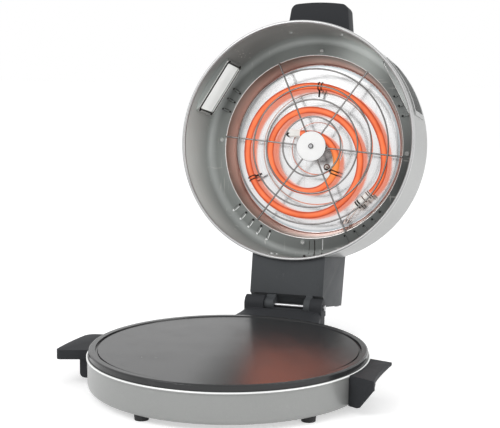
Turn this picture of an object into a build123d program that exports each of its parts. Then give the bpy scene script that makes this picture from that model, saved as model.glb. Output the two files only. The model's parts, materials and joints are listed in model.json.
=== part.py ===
from build123d import *
import math
import os

os.makedirs("parts", exist_ok=True)

# The origin is on the table, under the centre of the baking plate. +Z is up, -Y is the cook's side,
# and the lid's hinge is at +Y. The lid stands open, as it does when the plate is loaded.

# ---------------------------------------------------------------- driving dimensions: base
foot_height = 7.8  # from the table to the underside of the base ring
ring_height = 45.4  # base ring, underside to the top of its lip
ring_radius = 204.8  # outside of the ring wall
ring_sheet = 1.2
ring_bend = 7.0
ring_flange = 27.0  # how far the ring turns in under the base
lip_bead = 2.2  # radius of the rolled lip
tray_sheet = 1.0
tray_margin = 8.8  # between the tray's edge and the ring wall
plate_radius = 203.0
plate_rise = 9.3  # plate rim above the lip
plate_thick = 5.8
plate_rim_width = 9.5
plate_groove_width = 4.0
plate_groove_depth = 3.2
plate_surface_drop = 1.3  # cooking surface below the rim
seat_gap = 0.2

foot_count = 5
foot_first_angle = -36.0
foot_circle = 190.0
foot_radius = 10.5
screw_radius = 2.0
screw_head_radius = 4.0
screw_head_height = 2.2
screw_clearance = 0.2
thread_fit = 0.05

pillar_circle = 166.0
pillar_radius = 5.0
pillar_count = 4

element_radius = 125.0  # the lower element's loop
element_tube = 4.2
element_gap_angle = 34.0
element_leg = 24.0
pan_radius = 152.0
pan_depth = 13.0
pan_sheet = 0.8
pan_below_plate = 22.0
clamp_count = 3

# ---------------------------------------------------------------- driving dimensions: side handles
handle_root = 190.0  # the handles are drawn from here outwards and cut back to the ring
handle_front = (235.0, -80.0)  # front corner: reach, then distance along Y
handle_back = (238.0, 24.0)
handle_waist = 232.5  # reach at the hollow of the outer edge
handle_front_root = -58.0  # the ends run in to these places beside the ring
handle_back_root = 38.0
handle_thick = 14.0
handle_leg_reach = 213.0
handle_leg_drop = 2.0  # the leg ends this far above the ring's underside
handle_leg_bend = 7.0
handle_leg_ends = (-56.0, 30.0)
handle_web_thick = 6.0
handle_web_reach = 232.5
handle_web_knee = 28.7  # above the ring's underside
handle_fit = 0.25
handle_screw_spread = 6.5  # degrees from the handle's middle to each screw
handle_corner = 2.5
handle_undercut = 220.0  # the underside rises outwards from this reach
handle_edge = 3.0  # and leaves the outer edge this thick
# the left handle is fuller: its outer edge bows out and its back corner is a wide curve
paddle_front = (243.0, -77.0)
paddle_bow = 244.6
paddle_back = (240.0, 31.0)
paddle_front_corner = 7.0
paddle_back_corner = 18.0
paddle_web_tip = (220.0, 33.8)
# side, front corner, middle of the outer edge, back corner, roundings of the two, web's tip and root, its turn
handle_plans = {
    "right_handle": (
        1, handle_front, handle_waist, handle_back, handle_corner, handle_corner, handle_front, handle_front_root, 1
    ),
    "left_handle": (
        -1, paddle_front, paddle_bow, paddle_back, paddle_front_corner, paddle_back_corner, paddle_web_tip,
        handle_back_root, -1
    ),
}

# ---------------------------------------------------------------- driving dimensions: hinge
hinge_y = 278.7
hinge_height = 56.9  # hinge axis above the ring's underside
open_angle = 100.4
pin_radius = 3.0
pin_fit = 0.05
pin_head_radius = 5.0
pin_head = 3.0
knuckle_radius = 14.5
knuckle_left = (-66.5, -33.6)
knuckle_right = (47.3, 67.6)
lug_left = (-33.2, -17.6)
lug_right = (36.2, 46.9)
lug_left_radius = 10.5
bracket_front_y = 196.0
bracket_step_y = 264.0  # where the sloping top stops, in front of the hinge
bracket_rear_y = 293.0
bracket_front_shape = (80.0, 48.0, 55.0, 56.0)  # half width, its height, half width of the top, top height
bracket_step_shape = (67.0, 54.5, 62.0, 60.5)
bracket_wall = 3.0
bracket_lift = 12.0  # underside of the sloping part above the table
bracket_leg_lift = 4.0
bracket_leg_front = 248.0
bracket_shelf_back = 10.0  # the shelf under the pin ends this far behind the hinge axis
bracket_shelf_gap = 0.6
bracket_block_top = 49.7
boss_radius = 5.5
pad_radius = 8.0
pad_place = (50.0, 270.0)
inlet_size = (28.0, 20.0)
inlet_flange = 3.5
inlet_deep = 18.0

# ---------------------------------------------------------------- driving dimensions: lid
lid_gap = 0.6  # closed rim above the plate rim
rim_outer = 203.8
rim_inner = 198.6
rim_height = 5.0
rim_round = 2.2
shell_radius = 203.5
shell_sheet = 1.0
shell_corner = 40.0
shell_shoulder = 158.0  # height of the shell's flat top at its edge
shell_step_radius = 140.0
shell_step = 1.2
liner_radius = 199.4
liner_sheet = 0.8
liner_corner = 14.0
liner_depth = 124.0
mouth_radius = 163.2  # inner edge of the liner, where the dish shows
mouth_depth = 112.8
dish_radius = 162.0
dish_floor_radius = 152.5
dish_floor = 149.5
dish_step = 1.2
dish_edges = (46.0, 100.0)  # radii of the two shallow steps in its floor
dish_sheet = 0.8
dish_flange = 10.0
dish_screw_angles = (2.3, 92.3, 182.3, 272.3)
dish_screw_inset = 3.4  # from the flange's edge
dish_screw_grip = 6.0
liner_vent = (90.0, 113.0, 1.8)  # angle, height and radius of the hole in the liner's corner
dish_gap = 0.1

coil_tube = 6.0
coil_height = 131.0
coil_x = -10.3
coil_y = 27.0  # centre of the right-hand half turns
coil_pitch = 21.6  # growth of the radius at each half turn
coil_first = 51.5
coil_half_turns = 4
coil_lead_in = 17.7
coil_tail_radius = 70.0
coil_tail_angle = 45.0
ceramic_short = 20.0
ceramic_long = 38.0
ceramic_radius = 6.4
clips_at = ((0, 18.8), (3, 152.4), (4, -84.2))  # half turn, and the angle round its centre
clip_gap = 0.4
clip_sheet = 1.0
clip_width = 7.0

guard_wire = 1.4
guard_height = 110.3
guard_rings = (20.0, 53.0, 83.5, 108.0, 138.0)
guard_reach = 163.6
guard_spokes = 6
guard_turn = 4.5
hub_radius = 26.5
hub_thick = 2.2
stud_radius = 5.0

window_angle = 60.0  # each way from the lid handle
window_low = 34.0
window_high = 96.0
window_width = 92.0
window_lip = 3.0  # holds the pane's edge
window_wall = 1.4
window_face = 7.0  # width of the flat face round the pane
window_seat = 188.5  # flat inner face of the frame, from the lid's axis
glass_thick = 3.0
glass_gap = 0.3
bezel_proud = 1.8
bezel_width = 5.0
cut_gap = 0.3

louvre_length = 18.0
louvre_width = 4.4
louvre_rise = 1.6
louvre_hole = 4.2
louvre_spacing = 6.4  # degrees
louvre_notch = 3.0  # room for a louvre in the dish's flange
louvre_radius = 175.5
# first angle, direction and count of each row of louvres
louvre_sets = ((-147.0, -1, 3), (139.6, -1, 5), (-33.0, 1, 3), (40.4, 1, 5))

grip_base_half = 57.0
grip_top_half = 51.0
grip_reach = 256.0
grip_low = 105.0
grip_high = 139.0
grip_corner = 13.0
grip_crown = 4.0
gasket_thick = 2.2
gasket_half = 63.0
wall_screw_grip = 18.0
grip_screw_grip = 15.0
grip_screw_angle = 13.2
grip_screw_height = 114.0
liner_screw_angles = (-100.6, -73.6)
liner_screw_height = 62.0

box_half = 63.7
box_low = 6.5
box_front_end = 261.0
box_back = 278.0
box_back_low = 22.5
box_back_high = 140.6
box_top_high = 149.3
box_wall = 2.5
box_cover = 2.6
box_top_front = 191.0  # where the box's top meets the lid's shell
box_screw_angle = 11.5
box_screw_heights = (40.0, 71.0)
hinge_relief = 19.0

knob_radius = 18.0
knob_height = 15.0
knob_x = 22.0
knob_y = 240.0
dial_radius = 27.0
dial_thick = 0.8
lamp_radius = 4.0
lamp_x = (-28.0, -44.0)
shaft_radius = 3.0
running_gap = 0.4

# ---------------------------------------------------------------- heights and frames
lip_top = foot_height + ring_height
plate_top = lip_top + plate_rise
hinge_z = foot_height + hinge_height
rim_z = plate_top + lid_gap
tray_low = foot_height + ring_sheet
tray_top = tray_low + tray_sheet
plate_surface = plate_top - plate_surface_drop
plate_under = plate_surface - plate_thick

hinge_frame = Plane(origin=(0, hinge_y, hinge_z)).rotated((-open_angle, 0, 0))
rim_centre = hinge_frame.from_local_coords((0, -hinge_y, rim_z - hinge_z))
lid = Plane(origin=rim_centre, x_dir=hinge_frame.x_dir, z_dir=hinge_frame.z_dir)
lid_axis = Axis(lid.origin, lid.z_dir)
lid_profile = Plane(origin=lid.origin, x_dir=lid.x_dir, z_dir=-lid.y_dir)  # radius, height
lid_middle = Plane(origin=lid.origin, x_dir=lid.y_dir, z_dir=lid.x_dir)  # towards the hinge, height
hinge_in_lid = (hinge_y, hinge_z - rim_z)


def sheet(points, bends, wall):
    """A bent sheet's section: the path, and the wall on its left."""
    with BuildLine() as path:
        FilletPolyline(*points, radius=bends)
        offset(amount=wall, side=Side.LEFT)
    make_face(path.edges())


def lid_radial(angle, distance, height):
    """A plane across the lid's radius at an angle, looking outwards, with its x along the rim."""
    turn = math.radians(angle)
    outward = lid.x_dir * math.cos(turn) + lid.y_dir * math.sin(turn)
    along = lid.y_dir * math.cos(turn) - lid.x_dir * math.sin(turn)
    return Plane(origin=lid.origin + outward * distance + lid.z_dir * height, x_dir=along, z_dir=outward)


def base_radial(angle, distance, height):
    """A plane across the base's radius at an angle, looking outwards."""
    turn = math.radians(angle)
    outward = Vector(math.cos(turn), math.sin(turn), 0)
    place = outward * distance + Vector(0, 0, height)
    return Plane(origin=place, x_dir=(-outward.Y, outward.X, 0), z_dir=outward)


def screw(plane, grip):
    """A pan-head screw whose head seats on the plane, with its shank running along the plane's z."""
    with BuildSketch(plane) as head:
        Circle(screw_head_radius)
    extrude(head.sketch, amount=-screw_head_height)
    with BuildSketch(plane) as shank:
        Circle(screw_radius)
    extrude(shank.sketch, amount=grip)
    with BuildSketch(plane.offset(-screw_head_height)) as cross:
        Rectangle(screw_head_radius * 1.2, 0.8)
        Rectangle(0.8, screw_head_radius * 1.2)
    extrude(cross.sketch, amount=0.9, mode=Mode.SUBTRACT)


# ---------------------------------------------------------------- base ring and tray
bead_centre = ring_radius + 1.5 - lip_bead
foot_angles = [foot_first_angle + 360 / foot_count * i for i in range(foot_count)]
handle_middle = math.degrees(math.asin(sum(handle_leg_ends) / 2 / ring_radius))
handle_screw_height = foot_height + 20.7
handle_screws_at = [
    base + side * (handle_middle + turn)
    for base, side in ((0, 1), (180, -1))
    for turn in (-handle_screw_spread, handle_screw_spread)
]
bracket_screws_at = [90 - 14, 90 + 14]
bracket_screw_heights = [foot_height + 12.7, foot_height + 30.7]

with BuildPart() as base_ring:
    with BuildSketch(Plane.XZ):
        wall_top = lip_top - lip_bead
        sheet(
            [(ring_radius - ring_flange, foot_height), (ring_radius, foot_height), (ring_radius, wall_top)],
            [ring_bend],
            ring_sheet,
        )
        with Locations((bead_centre, lip_top - lip_bead)):
            Circle(lip_bead)
    revolve(axis=Axis.Z)
    for angle in foot_angles:
        with BuildSketch(Plane.XY.offset(foot_height)):
            with PolarLocations(foot_circle, 1, start_angle=angle):
                Circle(screw_radius + screw_clearance)
        extrude(amount=ring_sheet, mode=Mode.SUBTRACT)
    for angle in handle_screws_at:
        with BuildSketch(base_radial(angle, ring_radius - 2 * ring_sheet, handle_screw_height)):
            Circle(screw_radius + screw_clearance)
        extrude(amount=3 * ring_sheet, mode=Mode.SUBTRACT)
    for angle in bracket_screws_at:
        for height in bracket_screw_heights:
            with BuildSketch(base_radial(angle, ring_radius - 2 * ring_sheet, height)):
                Circle(screw_radius + screw_clearance)
            extrude(amount=3 * ring_sheet, mode=Mode.SUBTRACT)

base_ring.part.label = "base_ring"
export_step(base_ring.part, "parts/base_ring.step")

tray_radius = ring_radius - tray_margin
with BuildPart() as bottom_tray:
    with BuildSketch(Plane.XY.offset(tray_low)):
        Circle(tray_radius)
        for angle in foot_angles:
            with PolarLocations(foot_circle, 1, start_angle=angle):
                Circle(screw_radius + screw_clearance, mode=Mode.SUBTRACT)
        with PolarLocations(pillar_circle, pillar_count, start_angle=45):
            Circle(screw_radius + screw_clearance, mode=Mode.SUBTRACT)
        for circle in (70, 95, 120):
            with PolarLocations(circle, 16):
                SlotOverall(18, 4, mode=Mode.SUBTRACT)
    extrude(amount=tray_sheet)

bottom_tray.part.label = "bottom_tray"
export_step(bottom_tray.part, "parts/bottom_tray.step")

# ---------------------------------------------------------------- baking plate
with BuildPart() as baking_plate:
    with BuildSketch(Plane.XZ) as plate_section:
        rim_under = lip_top + seat_gap
        rim_inside = plate_radius - plate_rim_width
        groove_inside = rim_inside - plate_groove_width
        with BuildLine():
            Polyline(
                (0, plate_under),
                (groove_inside - 3, plate_under),
                (groove_inside - 1, rim_under),
                (plate_radius, rim_under),
                (plate_radius, plate_top),
                (rim_inside, plate_top),
                (rim_inside - 0.8, plate_top - plate_groove_depth),
                (groove_inside + 0.8, plate_top - plate_groove_depth),
                (groove_inside, plate_surface),
                (0, plate_surface),
                close=True,
            )
        make_face()
        rim_corners = plate_section.vertices().filter_by_position(
            Axis.X, plate_radius - 0.1, plate_radius + 0.1
        )
        fillet(rim_corners.sort_by(Axis.Y)[-1], radius=2.4)
    revolve(axis=Axis.Z)

baking_plate.part.label = "baking_plate"
export_step(baking_plate.part, "parts/baking_plate.step")

with BuildPart() as plate_pillars:
    with BuildSketch(Plane.XY.offset(tray_top)):
        with PolarLocations(pillar_circle, pillar_count, start_angle=45):
            Circle(pillar_radius)
            Circle(screw_radius + screw_clearance / 2, mode=Mode.SUBTRACT)
    extrude(amount=plate_under - tray_top)

plate_pillars.part.label = "plate_pillars"
export_step(plate_pillars.part, "parts/plate_pillars.step")

with BuildPart() as pillar_screws:
    for i in range(pillar_count):
        turn = math.radians(45 + 360 / pillar_count * i)
        centre = (pillar_circle * math.cos(turn), pillar_circle * math.sin(turn), tray_low)
        screw(Plane(origin=centre), 14)

pillar_screws.part.label = "pillar_screws"
export_step(pillar_screws.part, "parts/pillar_screws.step")

# ---------------------------------------------------------------- lower heater
element_z = plate_under - element_tube - 0.3
element_start = 90 + element_gap_angle / 2
leg_angles = [element_start, element_start - element_gap_angle]
start_turn = math.radians(element_start)
element_section = Plane(
    origin=(0, 0, 0),
    x_dir=(math.cos(start_turn), math.sin(start_turn), 0),
    z_dir=(math.sin(start_turn), -math.cos(start_turn), 0),
)
with BuildPart() as lower_heater:
    with BuildSketch(element_section):
        with Locations((element_radius, element_z)):
            Circle(element_tube)
    revolve(axis=Axis.Z, revolution_arc=360 - element_gap_angle)
    for angle in leg_angles:
        turn = math.radians(angle)
        corner = (element_radius * math.cos(turn), element_radius * math.sin(turn), element_z)
        with Locations(corner):
            Sphere(element_tube)
        with BuildSketch(Plane(origin=corner)):
            Circle(element_tube)
        extrude(amount=-element_leg)

lower_heater.part.label = "lower_heater"
export_step(lower_heater.part, "parts/lower_heater.step")

pan_low = plate_under - pan_below_plate
with BuildPart() as heater_pan:
    with BuildSketch(Plane.XZ):
        sheet([(0, pan_low), (pan_radius, pan_low), (pan_radius, pan_low + pan_depth)], [4.0], pan_sheet)
    revolve(axis=Axis.Z)
    with BuildSketch(Plane.XY.offset(pan_low)):
        for angle in leg_angles:
            with PolarLocations(element_radius, 1, start_angle=angle):
                Circle(element_tube + 1.0)
        Circle(16)
    extrude(amount=pan_sheet * 2, mode=Mode.SUBTRACT)

heater_pan.part.label = "heater_pan"
export_step(heater_pan.part, "parts/heater_pan.step")

with BuildPart() as heater_clamps:
    for i in range(clamp_count):
        angle = -90 + 360 / clamp_count * i
        with BuildSketch(base_radial(angle, element_radius, element_z)):
            Rectangle(14, 2 * element_tube + 3)
        extrude(amount=element_tube + 2, both=True)
    with BuildSketch(Plane.XZ):
        with Locations((element_radius, element_z)):
            Circle(element_tube + 0.2)
    revolve(axis=Axis.Z, mode=Mode.SUBTRACT)
    with BuildSketch(Plane.XY.offset(plate_under)):
        Circle(pan_radius)
    extrude(amount=10, mode=Mode.SUBTRACT)

heater_clamps.part.label = "heater_clamps"
export_step(heater_clamps.part, "parts/heater_clamps.step")

with BuildPart() as plate_thermostat:
    with BuildSketch(Plane.XY.offset(plate_under)):
        Circle(12)
    extrude(amount=-5)
    with BuildSketch(Plane.XY.offset(plate_under - 5)):
        Circle(8.5)
    extrude(amount=-11)

plate_thermostat.part.label = "plate_thermostat"
export_step(plate_thermostat.part, "parts/plate_thermostat.step")

with BuildPart() as thermal_fuse:
    with BuildSketch(Plane.XZ.offset(-40)):
        with Locations((30, plate_under - 2.6)):
            Circle(2.4)
    extrude(amount=14)

thermal_fuse.part.label = "thermal_fuse"
export_step(thermal_fuse.part, "parts/thermal_fuse.step")

with BuildPart() as terminal_block:
    with BuildSketch(Plane.XY.offset(tray_top)):
        with Locations((0, 168)):
            RectangleRounded(58, 20, 3)
    extrude(amount=14)
    with BuildSketch(Plane.XY.offset(tray_top + 14)):
        with Locations((0, 168)):
            with GridLocations(13, 9, 4, 2):
                Circle(2.5)
    extrude(amount=-8, mode=Mode.SUBTRACT)

terminal_block.part.label = "terminal_block"
export_step(terminal_block.part, "parts/terminal_block.step")

# ---------------------------------------------------------------- feet
with BuildPart() as feet:
    with BuildSketch(Plane.XY.offset(foot_height)):
        for angle in foot_angles:
            with PolarLocations(foot_circle, 1, start_angle=angle):
                Circle(foot_radius)
    extrude(amount=-foot_height, taper=6)
    with BuildSketch(Plane.XY):
        for angle in foot_angles:
            with PolarLocations(foot_circle, 1, start_angle=angle):
                Circle(screw_head_radius + 0.6)
    extrude(amount=4.5, mode=Mode.SUBTRACT)
    with BuildSketch(Plane.XY):
        for angle in foot_angles:
            with PolarLocations(foot_circle, 1, start_angle=angle):
                Circle(screw_radius + screw_clearance)
    extrude(amount=foot_height, mode=Mode.SUBTRACT)

feet.part.label = "feet"
export_step(feet.part, "parts/feet.step")

with BuildPart() as foot_screws:
    for angle in foot_angles:
        turn = math.radians(angle)
        centre = (foot_circle * math.cos(turn), foot_circle * math.sin(turn), 4.5)
        screw(Plane(origin=centre), foot_height - 4.5 + ring_sheet + tray_sheet + 3)

foot_screws.part.label = "foot_screws"
export_step(foot_screws.part, "parts/foot_screws.step")

# ---------------------------------------------------------------- side handles
bead_outside = bead_centre + lip_bead
with BuildPart() as ring_space:
    with BuildSketch(Plane.XZ):
        with Locations((0, foot_height - 5)):
            Rectangle(ring_radius + handle_fit, 60, align=(Align.MIN, Align.MIN))
        with Locations((bead_centre, lip_top - lip_bead)):
            Circle(lip_bead + handle_fit)
        with Locations((0, lip_top - lip_bead)):
            Rectangle(bead_outside + handle_fit, 20, align=(Align.MIN, Align.MIN))
    revolve(axis=Axis.Z)

leg_low = foot_height + handle_leg_drop
flange_low = lip_top - handle_thick
web_knee = foot_height + handle_web_knee
for name, plan in handle_plans.items():
    side, front, waist, back, front_corner, back_corner, web_tip, web_root, webbed_end = plan
    with BuildPart() as handle:
        with BuildSketch(Plane.XY.offset(leg_low)):
            with BuildLine():
                Polyline(
                    (side * handle_root, web_root),
                    (side * web_tip[0], web_tip[1]),
                    (side * web_tip[0], web_tip[1] + webbed_end * handle_web_thick),
                    (side * handle_root, web_root + webbed_end * handle_web_thick),
                    close=True,
                )
            make_face()
        extrude(amount=lip_top - leg_low)
        with BuildSketch(Plane.XZ):
            with BuildLine():
                Polyline(
                    (side * (handle_leg_reach - 6), leg_low - 1),
                    (side * (handle_leg_reach + 1), leg_low + 2),
                    (side * handle_web_reach, web_knee),
                    (side * handle_web_reach, flange_low),
                    (side * (back[0] + 5), flange_low),
                    (side * (back[0] + 5), leg_low - 1),
                    close=True,
                )
            make_face()
        extrude(amount=120, both=True, mode=Mode.SUBTRACT)
        with BuildSketch(Plane.XZ.offset(-handle_leg_ends[1])) as leg_section:
            with BuildLine():
                Polyline(
                    (side * handle_root, leg_low),
                    (side * handle_leg_reach, leg_low),
                    (side * handle_leg_reach, lip_top - 1),
                    (side * handle_root, lip_top - 1),
                    close=True,
                )
            make_face()
            foot_corner = leg_section.vertices().group_by(Axis.Y)[0].sort_by(Axis.X)
            fillet(foot_corner[-1 if side > 0 else 0], radius=handle_leg_bend)
        extrude(amount=handle_leg_ends[1] - handle_leg_ends[0])
        with BuildSketch(Plane.XY.offset(flange_low)) as flange:
            with BuildLine():
                Line((side * handle_root, handle_front_root), (side * front[0], front[1]))
                ThreePointArc(
                    (side * front[0], front[1]),
                    (side * waist, (front[1] + back[1]) / 2),
                    (side * back[0], back[1]),
                )
                Polyline(
                    (side * back[0], back[1]),
                    (side * handle_root, handle_back_root),
                    (side * handle_root, handle_front_root),
                )
            make_face()
            for end, radius in ((0, front_corner), (-1, back_corner)):
                tips = flange.vertices().filter_by(lambda v: abs(v.X) > handle_root + 10).sort_by(Axis.Y)
                fillet(tips[end], radius=radius)
        extrude(amount=handle_thick)
        if waist < front[0]:
            behind_web = front[1] + handle_web_thick
            with BuildSketch(Plane.XZ.offset(-behind_web)):
                with BuildLine():
                    Polyline(
                        (side * handle_undercut, flange_low),
                        (side * (back[0] + 1), lip_top - handle_edge),
                        (side * (back[0] + 1), flange_low - 1),
                        (side * handle_undercut, flange_low - 1),
                        close=True,
                    )
                make_face()
            extrude(amount=behind_web - handle_back_root, mode=Mode.SUBTRACT)
        add(ring_space.part, mode=Mode.SUBTRACT)
        for angle in handle_screws_at:
            with BuildSketch(base_radial(angle, ring_radius, handle_screw_height)):
                Circle(screw_radius + thread_fit)
            extrude(amount=7, mode=Mode.SUBTRACT)
    handle.part.label = name
    export_step(handle.part, f"parts/{name}.step")

with BuildPart() as side_handle_screws:
    for angle in handle_screws_at:
        screw(base_radial(angle, ring_radius - ring_sheet - 0.1, handle_screw_height), 7)

side_handle_screws.part.label = "side_handle_screws"
export_step(side_handle_screws.part, "parts/side_handle_screws.step")


# ---------------------------------------------------------------- hinge bracket
def wedge_section(y, shape, low, inset):
    """The bracket's outline across Y, drawn in by an inset."""
    half, half_height, top_half, top_height = shape
    with BuildSketch(Plane.XZ.offset(-y)) as section:
        with BuildLine():
            Polyline(
                (-half + inset, low),
                (half - inset, low),
                (half - inset, half_height - inset / 2),
                (top_half - inset, top_height - inset),
                (-top_half + inset, top_height - inset),
                (-half + inset, half_height - inset / 2),
                close=True,
            )
        make_face()
    return section.sketch


step_inset_y = bracket_step_y - bracket_wall
step_half = bracket_step_shape[0]
with BuildPart() as bracket_inside:
    loft(
        [
            wedge_section(bracket_front_y, bracket_front_shape, 0, bracket_wall),
            wedge_section(step_inset_y, bracket_step_shape, 0, bracket_wall),
        ],
        ruled=True,
    )
    with BuildSketch():
        with Locations((0, bracket_leg_front + bracket_wall)):
            Rectangle(
                2 * (step_half - bracket_wall),
                bracket_rear_y - bracket_leg_front - 2 * bracket_wall,
                align=(Align.CENTER, Align.MIN),
            )
    extrude(amount=bracket_block_top - bracket_wall)
    with BuildSketch():
        Circle(bead_outside + handle_fit + bracket_wall)
    extrude(amount=80, mode=Mode.SUBTRACT)

with BuildPart() as hinge_bracket:
    loft(
        [
            wedge_section(bracket_front_y, bracket_front_shape, bracket_lift, 0),
            wedge_section(bracket_step_y, bracket_step_shape, bracket_lift, 0),
        ],
        ruled=True,
    )
    with BuildSketch(Plane.XY.offset(bracket_leg_lift)):
        with Locations((0, (bracket_leg_front + bracket_rear_y) / 2)):
            RectangleRounded(2 * step_half, bracket_rear_y - bracket_leg_front, 4)
    extrude(amount=bracket_block_top - bracket_leg_lift)
    add(bracket_inside.part, mode=Mode.SUBTRACT)
    with BuildSketch(Plane.XY.offset(bracket_leg_lift)):
        for side in (-1, 1):
            with Locations((side * pad_place[0], pad_place[1])):
                Circle(pad_radius + 1.5)
    extrude(amount=bracket_block_top - bracket_leg_lift)
    for angle in bracket_screws_at:
        for height in bracket_screw_heights:
            with BuildSketch(base_radial(angle, ring_radius, height)):
                Circle(boss_radius)
            extrude(amount=14)
    for low, high in (knuckle_left, knuckle_right):
        with BuildSketch(Plane.YZ.offset(low)):
            with Locations((hinge_y, hinge_z)):
                Circle(knuckle_radius)
            with Locations((hinge_y, bracket_block_top - 1)):
                post_height = hinge_z - bracket_block_top + 1
                Rectangle(2 * knuckle_radius, post_height, align=(Align.CENTER, Align.MIN))
        extrude(amount=high - low)
    add(ring_space.part, mode=Mode.SUBTRACT)
    for angle in bracket_screws_at:
        for height in bracket_screw_heights:
            with BuildSketch(base_radial(angle, ring_radius - 1, height)):
                Circle(screw_radius + thread_fit)
            extrude(amount=12, mode=Mode.SUBTRACT)
    with BuildSketch(Plane.YZ.offset(knuckle_left[1])):
        with Locations((hinge_y, hinge_z)):
            Circle(knuckle_radius + 0.6)
    extrude(amount=knuckle_right[0] - knuckle_left[1], mode=Mode.SUBTRACT)
    with BuildSketch(Plane.XY.offset(bracket_block_top - 1)):
        shelf_left = lug_left[1] + bracket_shelf_gap
        shelf_front = bracket_step_y - 1
        with Locations((shelf_left, shelf_front)):
            Rectangle(
                lug_right[0] - bracket_shelf_gap - shelf_left,
                hinge_y + bracket_shelf_back - shelf_front,
                align=(Align.MIN, Align.MIN),
            )
    extrude(amount=hinge_z - pin_radius - bracket_shelf_gap - bracket_block_top + 1)
    with BuildSketch(Plane.YZ.offset(-90)):
        with Locations((hinge_y, hinge_z)):
            Circle(pin_radius + pin_fit / 2)
    extrude(amount=180, mode=Mode.SUBTRACT)
    with BuildSketch(Plane.XZ.offset(-bracket_rear_y - 1)):
        with Locations((0, (bracket_leg_lift + bracket_block_top) / 2)):
            Rectangle(inlet_size[0] + 2 * screw_clearance, inlet_size[1] + 2 * screw_clearance)
    extrude(amount=bracket_wall + 2, mode=Mode.SUBTRACT)

hinge_bracket.part.label = "hinge_bracket"
export_step(hinge_bracket.part, "parts/hinge_bracket.step")

with BuildPart() as bracket_screws:
    for angle in bracket_screws_at:
        for height in bracket_screw_heights:
            screw(base_radial(angle, ring_radius - ring_sheet - 0.1, height), 12)

bracket_screws.part.label = "bracket_screws"
export_step(bracket_screws.part, "parts/bracket_screws.step")

with BuildPart() as rear_foot_pads:
    with BuildSketch():
        for side in (-1, 1):
            with Locations((side * pad_place[0], pad_place[1])):
                Circle(pad_radius)
    extrude(amount=bracket_leg_lift)

rear_foot_pads.part.label = "rear_foot_pads"
export_step(rear_foot_pads.part, "parts/rear_foot_pads.step")

inlet_height = (bracket_leg_lift + bracket_block_top) / 2
blades_at = ((-7.0, 1.8), (0.0, -2.4), (7.0, 1.8))
blade_size = (2.0, 4.0)
with BuildPart() as inlet_housing:
    with BuildSketch(Plane.XZ.offset(-bracket_rear_y)):
        with Locations((0, inlet_height)):
            RectangleRounded(inlet_size[0], inlet_size[1], 3)
    extrude(amount=inlet_deep)
    with BuildSketch(Plane.XZ.offset(-bracket_rear_y)):
        with Locations((0, inlet_height)):
            RectangleRounded(inlet_size[0] + 2 * inlet_flange, inlet_size[1] + 2 * inlet_flange, 4)
    extrude(amount=-2.4)
    with BuildSketch(Plane.XZ.offset(-bracket_rear_y - 2.4)):
        with Locations((0, inlet_height)):
            RectangleRounded(inlet_size[0] - 4, inlet_size[1] - 4, 2)
    extrude(amount=inlet_deep - 2, mode=Mode.SUBTRACT)
    with BuildSketch(Plane.XZ.offset(-bracket_rear_y)):
        for place in blades_at:
            with Locations((place[0], inlet_height + place[1])):
                Rectangle(*blade_size)
    extrude(amount=inlet_deep + 6, mode=Mode.SUBTRACT)

inlet_housing.part.label = "inlet_housing"
export_step(inlet_housing.part, "parts/inlet_housing.step")

with BuildPart() as inlet_blades:
    with BuildSketch(Plane.XZ.offset(-bracket_rear_y)):
        for place in blades_at:
            with Locations((place[0], inlet_height + place[1])):
                Rectangle(*blade_size)
    extrude(amount=inlet_deep + 6)

inlet_blades.part.label = "inlet_blades"
export_step(inlet_blades.part, "parts/inlet_blades.step")

pin_left = knuckle_left[0] - 4.0
pin_right = knuckle_right[1] + 0.2
clip_groove = 0.5
with BuildPart() as hinge_pin:
    with BuildSketch(Plane.YZ.offset(pin_left)):
        with Locations((hinge_y, hinge_z)):
            Circle(pin_radius)
    extrude(amount=pin_right - pin_left)
    with BuildSketch(Plane.YZ.offset(pin_right)):
        with Locations((hinge_y, hinge_z)):
            Circle(pin_head_radius)
    extrude(amount=pin_head)
    with BuildSketch(Plane.YZ.offset(pin_left + 1.6)):
        with Locations((hinge_y, hinge_z)):
            Circle(pin_radius + 1)
            Circle(pin_radius - clip_groove, mode=Mode.SUBTRACT)
    extrude(amount=1.2, mode=Mode.SUBTRACT)

hinge_pin.part.label = "hinge_pin"
export_step(hinge_pin.part, "parts/hinge_pin.step")

with BuildPart() as pin_clip:
    with BuildSketch(Plane.YZ.offset(pin_left + 1.7)):
        with Locations((hinge_y, hinge_z)):
            Circle(pin_radius + 2)
            Circle(pin_radius - clip_groove + 0.05, mode=Mode.SUBTRACT)
            with Locations((0, pin_radius)):
                Rectangle(2 * clip_groove + 3, 2 * pin_radius, mode=Mode.SUBTRACT)
    extrude(amount=1.0)

pin_clip.part.label = "pin_clip"
export_step(pin_clip.part, "parts/pin_clip.step")


# ---------------------------------------------------------------- lid: shell, rim and liner
def shell_space(gap):
    """All that the lid's shell encloses, grown by a gap."""
    with BuildPart() as space:
        with BuildSketch(lid_profile) as section:
            with Locations((0, -10)):
                Rectangle(shell_radius + gap, shell_shoulder + gap + 10, align=(Align.MIN, Align.MIN))
            top_corner = section.vertices().group_by(Axis.Y)[-1].sort_by(Axis.X)[-1]
            fillet(top_corner, radius=shell_corner + gap)
        revolve(axis=lid_axis)
    return space.part


def cut_round(plane, radius, amount):
    """Bore a round hole along a plane's z."""
    with BuildSketch(plane) as hole:
        Circle(radius)
    extrude(hole.sketch, amount=amount, mode=Mode.SUBTRACT)


def window_plane(angle, distance):
    """The plane of one window, at a distance from the lid's axis."""
    return lid_radial(angle, distance, (window_low + window_high) / 2)


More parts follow.
